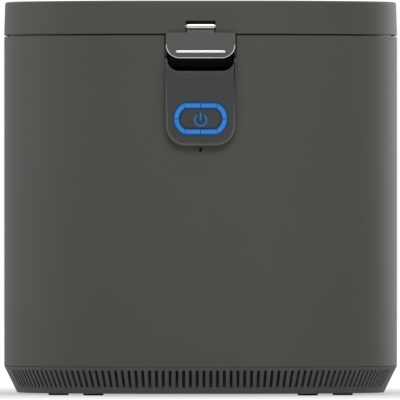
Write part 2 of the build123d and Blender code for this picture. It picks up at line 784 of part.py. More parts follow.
screw_places = [(0, -101.5), (-62, -65), (62, -65), (-47, 37), (47, 37)]
with BuildPart() as gearbox_base:
    with BuildSketch(Plane.XY.offset(gearbox_low)):
        add(gearbox_plan(3))
        with Locations(*screw_places):
            Circle(6)
    extrude(amount=cover_low - gearbox_low)
    with BuildSketch(Plane.XY.offset(gearbox_low + 3)):
        add(gearbox_plan(0))
    extrude(amount=cover_low, mode=Mode.SUBTRACT)
    drum(gearbox_low, slow_low - 1, bearing_r + 3, 0, well_y)
    drum(lower_bearing[0], slow_low, bearing_r, 0, well_y, mode=Mode.SUBTRACT)
    drum(gearbox_low, slow_low - 1, idler_shaft_r + 3, 0, idler_y)
    drum(gearbox_low + 1.5, slow_low, idler_shaft_r, 0, idler_y, mode=Mode.SUBTRACT)
gearbox_base.part.label = "gearbox_base"
export_step(gearbox_base.part, "parts/gearbox_base.step")

with BuildPart() as gearbox_cover:
    with BuildSketch(Plane.XY.offset(cover_low)):
        add(gearbox_plan(3))
        with Locations(*screw_places):
            Circle(6)
        with Locations((0, motor_y)):
            Circle(motor_shaft_r + 6, mode=Mode.SUBTRACT)
    extrude(amount=cover_high - cover_low)
    drum(cover_low, upper_bearing[1] + 1, bearing_r + 3, 0, well_y)
    drum(upper_bearing[0], upper_bearing[1], bearing_r, 0, well_y, mode=Mode.SUBTRACT)
    drum(cover_low - 1, upper_bearing[1] + 2, shaft_r + 0.5, 0, well_y, mode=Mode.SUBTRACT)
    drum(cover_low - 1, cover_high - 1, idler_shaft_r, 0, idler_y, mode=Mode.SUBTRACT)
gearbox_cover.part.label = "gearbox_cover"
export_step(gearbox_cover.part, "parts/gearbox_cover.step")

with BuildPart() as gearbox_screws:
    for x, y in screw_places:
        drum(cover_high, cover_high + 3, 3.5, x, y)
        with BuildSketch(Plane.XY.offset(cover_high + 3)):
            with Locations((x, y)):
                RegularPolygon(1.8, 6)
        extrude(amount=-1.8, mode=Mode.SUBTRACT)
gearbox_screws.part.label = "gearbox_screws"
export_step(gearbox_screws.part, "parts/gearbox_screws.step")

# Air path: duct from the deck, plenum, fan and filter chamber
skin = 1.6
duct_front = duct_y - duct_depth / 2
duct_back = duct_y + duct_depth / 2
with BuildPart() as air_duct:
    block((-duct_width / 2, duct_front, plenum_high - skin), (duct_width / 2, duct_back, deck_z))
    block((-fan_r, duct_front, plenum_low), (fan_r, fan_y, plenum_high))
    drum(plenum_low, plenum_high, fan_r, 0, fan_y)
    block((-fan_r + skin, duct_front + skin, plenum_low + skin),
          (fan_r - skin, fan_y, plenum_high - skin), mode=Mode.SUBTRACT)
    drum(plenum_low + skin, plenum_high + 1, fan_r - skin, 0, fan_y, mode=Mode.SUBTRACT)
    block((-duct_width / 2 + skin, duct_front + skin, plenum_low + skin),
          (duct_width / 2 - skin, duct_back - skin, deck_z + 1), mode=Mode.SUBTRACT)
air_duct.part.label = "air_duct"
export_step(air_duct.part, "parts/air_duct.step")

fan_shaft_r = 2.0
hub_r = 13.0
with BuildPart() as fan_frame:
    drum(plenum_high, fan_high, fan_r, 0, fan_y)
    drum(plenum_high, fan_high, fan_r - skin, 0, fan_y, mode=Mode.SUBTRACT)
    with BuildSketch(Plane.XY.offset(plenum_high)):  # spider that holds the fan's motor
        with Locations((0, fan_y)):
            Circle(hub_r)
            with PolarLocations(hub_r + 10.5, 3):
                Rectangle(23, 3)
    extrude(amount=4)
    drum(plenum_high, plenum_high + 12, hub_r, 0, fan_y)
    drum(plenum_high + 2, plenum_high + 13, fan_shaft_r + pin_clearance, 0, fan_y, mode=Mode.SUBTRACT)
fan_frame.part.label = "fan_frame"
export_step(fan_frame.part, "parts/fan_frame.step")

blade_low = plenum_high + 14
blade_high = fan_high - 4
blade_count = 7
with BuildPart() as fan_impeller:
    drum(plenum_high + 3, blade_low + 1, fan_shaft_r, 0, fan_y)
    drum(blade_low, blade_high, hub_r, 0, fan_y)
    chamfer(fan_impeller.edges().group_by(Axis.Z)[-1], 2)
    for blade in range(blade_count):
        turn = 2 * pi * blade / blade_count
        station = Plane((0, fan_y, (blade_low + blade_high) / 2),
                        x_dir=(-sin(turn), cos(turn), 0), z_dir=(cos(turn), sin(turn), 0))
        with BuildSketch(station.offset(hub_r - 1)):
            Rectangle(1.4, 16, rotation=50)
        with BuildSketch(station.offset(fan_r - skin - 1.2)):
            Rectangle(1.2, 15, rotation=62)
        loft(ruled=True)
fan_impeller.part.label = "fan_impeller"
export_step(fan_impeller.part, "parts/fan_impeller.step")

with BuildPart() as filter_chamber:
    block((-chamber_half, chamber_front, fan_high), (chamber_half, chamber_rear, chamber_high))
    block((-chamber_half + sheet, chamber_front + sheet, fan_high + sheet),
          (chamber_half - sheet, chamber_rear + 1, chamber_high - sheet), mode=Mode.SUBTRACT)
    drum(fan_high - 1, fan_high + 3, fan_r - skin, 0, fan_y, mode=Mode.SUBTRACT)
filter_chamber.part.label = "filter_chamber"
export_step(filter_chamber.part, "parts/filter_chamber.step")

filter_high = chamber_high - sheet - 1.5
with BuildPart() as carbon_filters:
    for side in (1, -1):
        x = side * filter_x
        drum(fan_high + sheet, filter_high, filter_r - 1.5, x, filter_y)
        drum(fan_high + sheet, fan_high + sheet + 10, filter_r, x, filter_y)
        drum(filter_high - 10, filter_high, filter_r, x, filter_y)
        block((x - 1.2, filter_y + 20, 190), (x + 1.2, filter_y + filter_r + 5, 232))
carbon_filters.part.label = "carbon_filters"
export_step(carbon_filters.part, "parts/carbon_filters.step")

# Rear cover over the filters, cut to the casing's curve, with exhaust louvres
louvre_rows = 9
louvre_pitch = 10.5
cover_face = rear_y + proud
cover_middle = (cover_bottom + cover_top) / 2
with BuildPart() as filter_cover:
    with BuildSketch(Plane.XZ.offset(-cover_face)):
        with Locations((0, cover_middle)):
            RectangleRounded(2 * cover_half, cover_top - cover_bottom, 16)
    extrude(amount=16)
    chamfer(filter_cover.faces().sort_by(Axis.Y)[-1].edges(), 1.2)
    with BuildSketch(Plane.XZ.offset(-cover_face + cover_skin)):
        with Locations((0, cover_middle)):
            RectangleRounded(2 * (cover_half - cover_skin), cover_top - cover_bottom - 2 * cover_skin, 13.6)
    extrude(amount=16, mode=Mode.SUBTRACT)
    with BuildSketch(Plane.XY.offset(cover_bottom - 1)):
        outline(-0.1)
    extrude(amount=cover_top - cover_bottom + 2, mode=Mode.SUBTRACT)
    with BuildSketch(Plane.XZ.offset(-cover_face)):
        with Locations((0, cover_middle)):
            with GridLocations(58, louvre_pitch, 2, louvre_rows):
                SlotOverall(48, 3.4)
    extrude(amount=2 * cover_skin, mode=Mode.SUBTRACT)
    for low in (opening_low + 0.3, opening_high - 2.3):  # lugs inside the opening's edges
        block((-20, chamber_rear + 1, low), (20, cover_face - 1, low + 2))
filter_cover.part.label = "filter_cover"
export_step(filter_cover.part, "parts/filter_cover.step")

# Power inlet at the low rear, with three pins
with BuildPart() as power_inlet:
    with BuildSketch(rear):
        with Locations((0, inlet_z)):
            RectangleRounded(*inlet_flange, 3)
    extrude(amount=-2)
    chamfer(power_inlet.faces().sort_by(Axis.Y)[-1].edges(), 0.5)
    with BuildSketch(rear):
        with Locations((0, inlet_z)):
            Rectangle(*inlet_body)
    extrude(amount=24)
    with BuildSketch(rear.offset(-2)) as socket:
        with Locations((0, inlet_z)):
            Rectangle(*inlet_socket)
        chamfer(socket.vertices().group_by(Axis.Y)[-1], 5)
    extrude(amount=19, mode=Mode.SUBTRACT)
power_inlet.part.label = "power_inlet"
export_step(power_inlet.part, "parts/power_inlet.step")

with BuildPart() as inlet_pins:
    for x, z in ((-7, inlet_z - 2), (7, inlet_z - 2), (0, inlet_z + 2)):
        block((x - 1, rear_y - 17, z - 2), (x + 1, rear_y - 1, z + 2))
        block((x - 0.4, rear_y - 32, z - 3.1), (x + 0.4, rear_y - 24, z + 3.1))
inlet_pins.part.label = "inlet_pins"
export_step(inlet_pins.part, "parts/inlet_pins.step")

# Power board beside the gearbox
with BuildPart() as power_board:
    with BuildSketch(Plane.XY.offset(20)):
        with Locations((112, 0)):
            RectangleRounded(44, 90, 2)
    extrude(amount=board_thickness)
power_board.part.label = "power_board"
export_step(power_board.part, "parts/power_board.step")

board_top = 20 + board_thickness
with BuildPart() as board_components:
    block((96, -36, board_top), (120, -12, board_top + 20))
    block((96, 8, board_top), (128, 12, board_top + 24))
    block((98, 22, board_top), (114, 38, board_top + 15))
    drum(board_top, board_top + 22, 6.5, 126, -2)
    drum(board_top, board_top + 22, 6.5, 104, -2)
    drum(board_top, board_top + 14, 4, 126, 28)
board_components.part.label = "board_components"
export_step(board_components.part, "parts/board_components.step")

# Lid: moulded cap with a slot for the latch, bosses for its pin and a hinge barrel
boss_low = 304.4
boss_high = 315.5
pocket_back = front_y + 8.4
liner_low = 303.2
liner_high = 305.4
liner_inset = 8.6
liner_boss_places = [(0, 135), (0, -135), (128, 50), (128, -50), (-128, 50), (-128, -50)]
pin_half = 19.0
with BuildPart() as lid_shell:
    with BuildSketch(Plane.XY.offset(lid_z)):
        outline(0)
    with BuildSketch(Plane.XY.offset(total_height)):
        outline(lid_taper)
    loft(ruled=True)
    fillet(lid_shell.faces().sort_by(Axis.Z)[-1].edges(), 2.0)
    with BuildSketch(Plane.XY.offset(lid_z)):
        outline(wall)
    with BuildSketch(Plane.XY.offset(total_height - wall)):
        outline(wall + lid_taper)
    loft(ruled=True, mode=Mode.SUBTRACT)
    for x, y in liner_boss_places:
        drum(liner_high, total_height - wall / 2, 5, x, y)
    block((-pin_half - 1.5, front_y + 1.5, boss_low), (pin_half + 1.5, pocket_back, boss_high))
    block((-latch_slot_width / 2, front_y - 1, lid_z - 1),
          (latch_slot_width / 2, pocket_back - 1, latch_slot_top), mode=Mode.SUBTRACT)
    block((latch_slot_width / 2 - 1, latch_y - 2.9, latch_z - 2.9),
          (latch_slot_width / 2 + 3, latch_y + 2.9, latch_z + 2.9), mode=Mode.SUBTRACT)
    rod(-pin_half, pin_half, pin_r, latch_y, latch_z, mode=Mode.SUBTRACT)
    rod(-lid_knuckle / 2, lid_knuckle / 2, knuckle_r, hinge_y, hinge_z)
    for side in (1, -1):
        ends = sorted((side * (lid_knuckle / 2), side * (lid_knuckle / 2 + side_knuckle + 0.5)))
        rod(*ends, knuckle_r + knuckle_room, hinge_y, hinge_z, mode=Mode.SUBTRACT)
    rod(-lid_knuckle, lid_knuckle, pin_r + pin_clearance, hinge_y, hinge_z, mode=Mode.SUBTRACT)
lid_shell.part.label = "lid_shell"
export_step(lid_shell.part, "parts/lid_shell.step")

with BuildPart() as hinge_pin:
    half = lid_knuckle / 2 + side_knuckle
    rod(-half, half, pin_r, hinge_y, hinge_z)
hinge_pin.part.label = "hinge_pin"
export_step(hinge_pin.part, "parts/hinge_pin.step")

liner_dish = 120.0
with BuildPart() as lid_liner:
    with BuildSketch(Plane.XY.offset(liner_low)):
        outline(liner_inset)
    extrude(amount=liner_high - liner_low)
    drum(liner_high - 1, liner_high + 8, liner_dish - 8, 0, -8)
    drum(liner_low - 1, liner_high + 8 - 1.6, liner_dish - 9.6, 0, -8, mode=Mode.SUBTRACT)
lid_liner.part.label = "lid_liner"
export_step(lid_liner.part, "parts/lid_liner.step")

with BuildPart() as lid_gasket:
    with BuildSketch(Plane.XY.offset(casing_top + 0.2)):
        band(liner_inset + 1.4, liner_inset + 4.4)
    extrude(amount=liner_low - casing_top - 0.2)
    chamfer(lid_gasket.edges().group_by(Axis.Z)[0], 0.8)
lid_gasket.part.label = "lid_gasket"
export_step(lid_gasket.part, "parts/lid_gasket.step")

with BuildPart() as liner_screws:
    for x, y in liner_boss_places:
        drum(liner_low - 1.6, liner_low, 3.2, x, y)
        with BuildSketch(Plane.XY.offset(liner_low - 1.6)):
            with Locations((x, y)):
                RegularPolygon(1.6, 6)
        extrude(amount=1.2, mode=Mode.SUBTRACT)
liner_screws.part.label = "liner_screws"
export_step(liner_screws.part, "parts/liner_screws.step")

sensor_place = (70.0, -143.0)
with BuildPart() as lid_magnet:
    drum(liner_high, liner_high + 3, 5, *sensor_place)
lid_magnet.part.label = "lid_magnet"
export_step(lid_magnet.part, "parts/lid_magnet.step")

with BuildPart() as lid_sensor:
    x, y = sensor_place
    block((x - 6, y - 4, deck_z - 5), (x + 6, y + 4, deck_z))
lid_sensor.part.label = "lid_sensor"
export_step(lid_sensor.part, "parts/lid_sensor.step")

# Latch: plate that hangs over the parting line from a polished barrel
bead_half = 20.9
bead_z = 286.7
neck_half = barrel_width / 2
barrel_low = latch_z - barrel_r
with BuildPart() as latch_lever:
    with BuildSketch(Plane.XZ.offset(-plate_back)) as plate:
        with Locations((0, (plate_low + plate_high) / 2)):
            Rectangle(plate_width, plate_high - plate_low)
        fillet(plate.vertices().group_by(Axis.Y)[0], plate_corner)
        fillet(plate.vertices().group_by(Axis.Y)[-1], 1.5)
    extrude(amount=plate_thickness)
    chamfer(latch_lever.faces().sort_by(Axis.Y)[0].edges(), 0.6)
    with BuildSketch(Plane.XZ.offset(-plate_front)):  # raised bead for the fingertips
        with Locations((0, bead_z)):
            SlotOverall(2 * bead_half, 2.5)
    extrude(amount=1.1)
    fillet(latch_lever.faces().sort_by(Axis.Y)[0].edges(), 1.0)
    with BuildSketch(Plane.YZ.offset(-neck_half)):  # neck that turns in under the barrel
        with BuildLine():
            Polyline(
                (plate_front, plate_high - 1), (plate_front, barrel_low - 1.5),
                (plate_front + 1.2, barrel_low - 0.3), (latch_y - 2.2, barrel_low - 0.3),
                (latch_y - 1.6, barrel_low + 0.3), (latch_y + 2, barrel_low + 0.3),
                (latch_y + 1, plate_high + 0.3), (plate_back, plate_high + 0.3),
                (plate_back, plate_high - 1), close=True,
            )
        make_face()
    extrude(amount=barrel_width)
    rod(-barrel_width, barrel_width, barrel_r, latch_y, latch_z, mode=Mode.SUBTRACT)
    block((-6, plate_back - 0.5, nose_low), (6, nose_back, nose_high))
    block((-6, nose_back - 2, nose_high - 0.5), (6, nose_back, nose_high + 1))
latch_lever.part.label = "latch_lever"
export_step(latch_lever.part, "parts/latch_lever.step")

with BuildPart() as latch_barrel:
    rod(-barrel_width / 2, barrel_width / 2, barrel_r, latch_y, latch_z)
    chamfer(latch_barrel.edges().filter_by(GeomType.CIRCLE), 0.3)
    rod(-barrel_width, barrel_width, pin_r + pin_clearance, latch_y, latch_z, mode=Mode.SUBTRACT)
latch_barrel.part.label = "latch_barrel"
export_step(latch_barrel.part, "parts/latch_barrel.step")

with BuildPart() as latch_pin:
    rod(-pin_half, pin_half, pin_r, latch_y, latch_z)
latch_pin.part.label = "latch_pin"
export_step(latch_pin.part, "parts/latch_pin.step")

with BuildPart() as latch_spring:
    coil(2.2, 0.6, 2.1, 3, (barrel_width / 2 + 0.5, latch_y, latch_z), (1, 0, 0))
latch_spring.part.label = "latch_spring"
export_step(latch_spring.part, "parts/latch_spring.step")

# Keeper: leaf spring under the deck whose tip drops in front of the latch's nose
leaf = 0.6
leaf_top = deck_z - 0.1
tip_y = nose_back - 2 - 0.3
with BuildPart() as keeper_spring:
    with BuildSketch(Plane.YZ.offset(-6)):
        with BuildLine():
            Polyline(
                (tip_y - leaf, leaf_top), (tip_y - leaf, nose_high + 0.3), (tip_y, nose_high + 0.3),
                (tip_y, leaf_top - leaf), (front_y + 24, leaf_top - leaf), (front_y + 24, leaf_top),
                close=True,
            )
        make_face()
    extrude(amount=12)
keeper_spring.part.label = "keeper_spring"
export_step(keeper_spring.part, "parts/keeper_spring.step")

with BuildPart() as keeper_screws:
    for x in (-3.5, 3.5):
        drum(leaf_top - leaf - 1.4, leaf_top - leaf, 1.8, x, front_y + 20)
keeper_screws.part.label = "keeper_screws"
export_step(keeper_screws.part, "parts/keeper_screws.step")
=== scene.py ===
import json
import math

import bmesh
import bpy
from mathutils import Matrix, Vector


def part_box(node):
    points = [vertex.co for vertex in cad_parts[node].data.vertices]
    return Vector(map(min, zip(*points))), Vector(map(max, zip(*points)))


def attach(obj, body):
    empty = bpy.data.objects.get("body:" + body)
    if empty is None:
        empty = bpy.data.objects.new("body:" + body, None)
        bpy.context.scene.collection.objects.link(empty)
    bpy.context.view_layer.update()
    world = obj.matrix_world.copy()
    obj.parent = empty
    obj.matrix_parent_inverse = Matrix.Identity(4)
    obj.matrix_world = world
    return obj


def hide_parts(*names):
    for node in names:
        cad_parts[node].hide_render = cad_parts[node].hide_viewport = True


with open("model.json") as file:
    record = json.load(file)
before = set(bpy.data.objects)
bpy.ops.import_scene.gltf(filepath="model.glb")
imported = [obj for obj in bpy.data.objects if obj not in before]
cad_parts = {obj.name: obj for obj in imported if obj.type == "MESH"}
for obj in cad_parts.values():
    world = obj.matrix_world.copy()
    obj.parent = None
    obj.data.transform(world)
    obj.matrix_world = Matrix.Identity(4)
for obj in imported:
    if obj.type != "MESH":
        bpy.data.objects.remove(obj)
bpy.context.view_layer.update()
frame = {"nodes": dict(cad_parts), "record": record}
nodeBody = {node: body for body, nodes in frame["record"]["behaviour"]["bodies"].items() for node in nodes}
nodeSlot = {part["node"]: part["material_slot"] for part in frame["record"]["subparts"]}
print("frame loaded:", len(nodeBody), "nodes")

mm = 0.001  # pieces are modelled in millimetres, and finishPiece brings them to metres


# Colours and shader nodes

def linear(hexColour):
    shares = [int(hexColour[i:i + 2], 16) / 255 for i in (1, 3, 5)]
    return [s / 12.92 if s <= 0.04045 else ((s + 0.055) / 1.055) ** 2.4 for s in shares] + [1.0]


def addNode(tree, kind, inputs=None, **settings):
    node = tree.nodes.new("ShaderNode" + kind)
    for name, value in settings.items():
        setattr(node, name, value)
    for socket, value in (inputs or {}).items():
        if isinstance(value, bpy.types.NodeSocket):
            tree.links.new(value, node.inputs[socket])
        else:
            node.inputs[socket].default_value = value
    return node


def blankMaterial(name, **fixed):
    material = bpy.data.materials.new(name)
    material.use_nodes = True
    tree = material.node_tree
    shader = tree.nodes["Principled BSDF"]
    for socket, value in fixed.items():
        shader.inputs[socket.replace("_", " ")].default_value = value
    return material, tree, shader


def markSurface(tree, shader, look, share, marks, rough):
    # tone, roughness and relief that follow the marks on the surface
    tone = addNode(tree, "Mix", {0: share, 6: linear(look["dark"]), 7: linear(look["light"])},
                   data_type="RGBA")
    matt = addNode(tree, "MapRange", {"Value": marks, "To Min": rough[0], "To Max": rough[1]})
    bump = addNode(tree, "Bump", {"Height": marks, "Distance": look["depth"] * mm})
    for node, output, socket in ((tone, 2, "Base Color"), (matt, 0, "Roughness"), (bump, 0, "Normal")):
        tree.links.new(node.outputs[output], shader.inputs[socket])


def mouldedPlastic(look):
    # the mould's etched grain scatters the light, and slow flow marks shift the tone a little
    material, tree, shader = blankMaterial(look["name"], IOR=look.get("ior", 1.5),
                                           Specular_IOR_Level=look.get("level", 0.5))
    place = addNode(tree, "TexCoord").outputs["Object"]
    grain = addNode(tree, "TexNoise", {"Vector": place, "Scale": 1 / (look["grain"] * mm), "Detail": 3.0})
    flow = addNode(tree, "TexNoise", {"Vector": place, "Scale": 1 / (look["flow"] * mm), "Detail": 2.0})
    rough = (look["roughness"] - swing["grain"], look["roughness"] + swing["grain"])
    markSurface(tree, shader, look, flow.outputs[0], grain.outputs[0], rough)
    return material


def workedMetal(look):
    # marks of the tool are noise drawn out along the way it was worked
    material, tree, shader = blankMaterial(look["name"], Metallic=1.0)
    place = addNode(tree, "TexCoord").outputs["Object"]
    drawn = addNode(tree, "Mapping", {"Vector": place, "Scale": look["stretch"]}).outputs[0]
    marks = addNode(tree, "TexNoise", {"Vector": drawn, "Scale": 1 / (look["mark"] * mm), "Detail": 4.0,
                                       "Roughness": 0.6}).outputs[0]
    rough = (look["roughness"] * (1 - swing["marks"]), look["roughness"] * (1 + swing["marks"]))
    markSurface(tree, shader, look, marks, marks, rough)
    return material


def nonStickCoat(look):
    # sprayed and baked fluoropolymer: a soft sheen with pale mineral specks
    material, tree, shader = blankMaterial(look["name"], IOR=1.4)
    place = addNode(tree, "TexCoord").outputs["Object"]
    specks = addNode(tree, "TexVoronoi", {"Vector": place, "Scale": 1 / (look["speckGap"] * mm)})
    inSpeck = addNode(tree, "Math", {0: specks.outputs["Distance"], 1: look["speckSize"]},
                      operation="LESS_THAN")
    spray = addNode(tree, "TexNoise", {"Vector": place, "Scale": 1 / (look["grain"] * mm), "Detail": 2.0})
    rough = (look["roughness"] - swing["spray"], look["roughness"] + swing["spray"])
    markSurface(tree, shader, look, inSpeck.outputs[0], spray.outputs[0], rough)
    return material


def ringDistance(tree, place):
    # how far each point lies from the middle line of the ring's bars and arcs
    aside = addNode(tree, "Math", {0: place[0]}, operation="ABSOLUTE")
    aside = addNode(tree, "Math", {0: aside.outputs[0], 1: seep["arcX"] * mm}, operation="SUBTRACT")
    aside = addNode(tree, "Math", {0: aside.outputs[0], 1: 0.0}, operation="MAXIMUM").outputs[0]
    above = addNode(tree, "Math", {0: place[2], 1: seep["middle"] * mm}, operation="SUBTRACT")
    away = addNode(tree, "CombineXYZ", {0: aside, 1: above.outputs[0]})
    away = addNode(tree, "VectorMath", {0: away.outputs[0]}, operation="LENGTH").outputs["Value"]
    tall = addNode(tree, "Math", {0: above.outputs[0]}, operation="ABSOLUTE").outputs[0]
    lines = []
    for value, middle in ((tall, seep["barZ"]), (away, seep["arc"])):
        line = addNode(tree, "Math", {0: value, 1: middle * mm}, operation="SUBTRACT")
        lines.append(addNode(tree, "Math", {0: line.outputs[0]}, operation="ABSOLUTE").outputs[0])
    inArc = addNode(tree, "Math", {0: aside, 1: seep["joint"] * mm}, operation="GREATER_THAN").outputs[0]
    return addNode(tree, "Mix", {0: inArc, 2: lines[0], 3: lines[1]}).outputs[0]


def litPolycarbonate(look):
    # frosted light pipe: brighter over each lamp, and deeper in colour between them and at its edges
    material, tree, shader = blankMaterial(look["name"], IOR=1.58, Roughness=0.45,
                                           Emission_Strength=look["strength"], Specular_IOR_Level=0.25)
    shader.inputs["Base Color"].default_value = linear(look["unlit"])
    place = addNode(tree, "TexCoord").outputs["Object"]
    lamps = addNode(tree, "TexNoise", {"Vector": place, "Scale": 1 / (look["lampGap"] * mm), "Detail": 0.0})
    tone = addNode(tree, "Mix", {0: lamps.outputs[0], 6: linear(look["dark"]), 7: linear(look["light"])},
                   data_type="RGBA").outputs[2]
    if "edge" in look:
        away = ringDistance(tree, addNode(tree, "SeparateXYZ", {0: place}).outputs)
        start, end = look["fade"]
        edge = addNode(tree, "MapRange", {"Value": away, "From Min": start * mm, "From Max": end * mm},
                       interpolation_type="SMOOTHSTEP")
        tone = addNode(tree, "Mix", {0: edge.outputs[0], 6: tone, 7: linear(look["edge"])},
                       data_type="RGBA").outputs[2]
    tree.links.new(tone, shader.inputs["Emission Color"])
    return material


def glowingPlastic(look):
    # moulded plastic thin enough for the lamps behind it to tint it round the ring and the symbol
    material = mouldedPlastic(look)
    tree = material.node_tree
    shader = tree.nodes["Principled BSDF"]
    place = addNode(tree, "SeparateXYZ", {0: addNode(tree, "TexCoord").outputs["Object"]}).outputs
    above = addNode(tree, "Math", {0: place[2], 1: seep["signZ"] * mm}, operation="SUBTRACT")
    sign = addNode(tree, "CombineXYZ", {0: place[0], 1: above.outputs[0]})
    sign = addNode(tree, "VectorMath", {0: sign.outputs[0]}, operation="LENGTH").outputs["Value"]
    shares = []
    for value, (start, end) in ((ringDistance(tree, place), seep["ring"]), (sign, seep["sign"])):
        fade = addNode(tree, "MapRange", {"Value": value, "From Min": start * mm, "From Max": end * mm,
                                          "To Min": 1.0, "To Max": 0.0}, interpolation_type="SMOOTHSTEP")
        shares.append(fade.outputs[0])
    share = addNode(tree, "Math", {0: shares[0], 1: shares[1]}, operation="MAXIMUM").outputs[0]
    # the blue mixed into the skin round the ring and the symbol, and the weak emission there, are painted
    # glow
    skin = shader.inputs["Base Color"].links[0].from_socket
    tone = addNode(tree, "Mix", {0: share, 6: skin, 7: linear(seep["tint"])}, data_type="RGBA")
    glow = addNode(tree, "Math", {0: share, 1: seep["strength"]}, operation="MULTIPLY")
    shader.inputs["Emission Color"].default_value = linear(seep["colour"])
    tree.links.new(tone.outputs[2], shader.inputs["Base Color"])
    tree.links.new(glow.outputs[0], shader.inputs["Emission Strength"])
    return material


def circuitBoard(look):
    # glass-epoxy under green mask, with the copper tracks showing as paler bands
    material, tree, shader = blankMaterial(look["name"], IOR=1.5, Roughness=look["roughness"])
    place = addNode(tree, "TexCoord").outputs["Object"]
    tracks = addNode(tree, "TexBrick", {"Vector": place, "Scale": 1 / (look["track"] * mm),
                                        "Color1": linear(look["dark"]), "Color2": linear(look["dark"]),
                                        "Mortar": linear(look["light"]), "Mortar Size": 0.09})
    tree.links.new(tracks.outputs[0], shader.inputs["Base Color"])
    return material


# how far the roughness moves with a surface's marks: by a step, or for metal by a share of it
swing = dict(grain=0.07, marks=0.2, spray=0.08)
# for each of the record's slots: grain, flow, mark and depth are in millimetres
plastics = {
    # ABS from an etched mould: even and matte, with no mirror-like highlight
    "body_grey": dict(name="etchedAbs", light="#4b4c47", dark="#484944", grain=0.5, flow=60, depth=0.02,
                      roughness=0.6, level=0.25),
    # the same ABS, more neutral and a shade lighter than the body: the extra lightness is painted light on
    # the downward-facing skirt
    "tray_grey": dict(name="etchedAbsSkirt", light="#50504e", dark="#4d4d4b", grain=0.5, flow=60,
                      depth=0.02, roughness=0.6, level=0.25),
    # die-cast zinc under satin grey paint: smoother than the plastic round it, so it catches more light
    "latch_grey": dict(name="satinPaintedZinc", light="#535351", dark="#50504e", grain=0.6, flow=30,
                       depth=0.004, roughness=0.42, level=0.4),
    # moulded polypropylene: waxy and darker than the outer shell; on the casing's recess round the latch
    # plate it is painted shade
    "inner_grey": dict(name="mouldedPolypropylene", light="#232323", dark="#1f1f1f", grain=0.6, flow=50,
                       depth=0.02, roughness=0.5, ior=1.49),
    # black ABS from a polished mould: deep black with a soft sheen; its near-black also paints the shade deep
    # in the finger scoop and on the casing slit's floor
    "scoop_black": dict(name="glossMouldedAbs", light="#060606", dark="#040404", grain=0.6, flow=30,
                        depth=0.004, roughness=0.35, level=0.1),
    # moulded silicone rubber: no sheen, a dusty bloom
    "rubber_black": dict(name="mouldedRubber", light="#1d1d1d", dark="#141414", grain=0.7, flow=20,
                         depth=0.02, roughness=0.8, level=0.3, ior=1.43),
    # moulded epoxy of the electronic parts: dull black, a little sandy
    "component_black": dict(name="mouldedEpoxy", light="#1c1c1c", dark="#161616", grain=0.4, flow=20,
                            depth=0.01, roughness=0.5, ior=1.55),
    # glass-filled nylon: black with the fibres' faint mottle
    "inlet_black": dict(name="mouldedNylon", light="#161616", dark="#101010", grain=0.5, flow=20,
                        depth=0.01, roughness=0.4, ior=1.53),
    # white moulded polypropylene: bright and slightly waxy
    "filter_white": dict(name="whitePolypropylene", light="#d4d4d0", dark="#cacac6", grain=0.5, flow=30,
                         depth=0.01, roughness=0.45, ior=1.49),
    # cast silicone over the lamps: milky
    "led_white": dict(name="castSilicone", light="#e8e6dc", dark="#dedcd0", grain=0.4, flow=10, depth=0.004,
                      roughness=0.3, ior=1.43),
}
metals = {
    # stainless bar, polished lengthwise: bright bands that stretch along it
    "polished_steel": dict(name="polishedStainless", light="#e6e6e4", dark="#d2d2d0", mark=0.6, depth=0.001,
                           roughness=0.16, stretch=(0.05, 1, 1)),
    # bright turned steel: fine marks round the axis
    "steel": dict(name="turnedSteel", light="#c4c4c0", dark="#a8a8a4", mark=0.5, depth=0.003, roughness=0.3,
                  stretch=(1, 1, 0.1)),
    # cold-drawn spring steel: duller, with a grey skin
    "spring_steel": dict(name="drawnSpringSteel", light="#b4b4b0", dark="#9a9a96", mark=0.5, depth=0.002,
                         roughness=0.3, stretch=(1, 1, 1)),
    # deep-drawn aluminium sheet: faint draw lines up the wall
    "sheet_aluminium": dict(name="deepDrawnAluminium", light="#cfcfcc", dark="#bebebb", mark=0.8,
                            depth=0.004, roughness=0.34, stretch=(1, 1, 0.04)),
    # sintered bronze: brown and grainy with oil in its pores
    "bronze": dict(name="sinteredBronze", light="#b08a5a", dark="#94703f", mark=0.5, depth=0.01,
                   roughness=0.45, stretch=(1, 1, 1)),
    # hobbed gear steel: darker, with cutter marks across the teeth
    "gear_steel": dict(name="hobbedSteel", light="#a2a29e", dark="#84847f", mark=0.5, depth=0.004,
                       roughness=0.32, stretch=(1, 1, 0.15)),
    # zinc-plated sheet: a cool grey bloom
    "motor_can": dict(name="zincPlatedSteel", light="#b9bdc2", dark="#a4a8ad", mark=1.2, depth=0.002,
                      roughness=0.36, stretch=(1, 1, 1)),
    # nickel-plated brass: warm and mirror-like
    "nickel": dict(name="nickelPlatedBrass", light="#d6d2c6", dark="#c4c0b2", mark=0.5, depth=0.001,
                   roughness=0.2, stretch=(1, 0.1, 1)),
}
coat = dict(name="sprayedNonStick", light="#5a5a58", dark="#242424", grain=1.0, speckGap=2.6, speckSize=0.2,
            depth=0.01, roughness=0.42)
ringGlow = dict(name="litPolycarbonate", light="#2c86e0", dark="#2474ca", unlit="#101820", lampGap=12,
                strength=0.9, edge="#2068b0", fade=(0.9, 2.2))
# the panel's frame is moulded in the body's colour, made a shade lighter as a painted highlight along the
# panel's rim
frameHighlightSkin = dict(name="etchedAbsFrame", light="#52544e", dark="#4f514b", grain=0.4, flow=40, depth=0.01,
                 roughness=0.5, level=0.3)
symbolGlow = dict(name="dimPolycarbonate", light="#5a7898", dark="#50708e", unlit="#202226", lampGap=6,
                  strength=0.6)
# satin ABS of the panel, with the ring's light seeping through it
panelSkin = dict(name="satinMouldedAbs", light="#3e3e3e", dark="#3b3b3b", grain=0.4, flow=40, depth=0.01,
                 roughness=0.5, level=0.25)
seep = dict(middle=230.9, arcX=8.1, barZ=10.9, arc=12.0, joint=5.6, ring=(2.4, 5.2), signZ=229.8,
            sign=(5.4, 8.2), tint="#123648", colour="#1c6ec8", strength=0.05)
boardMask = dict(name="maskedEpoxyGlass", light="#2f7a4c", dark="#1a5434", track=9.0, roughness=0.4)
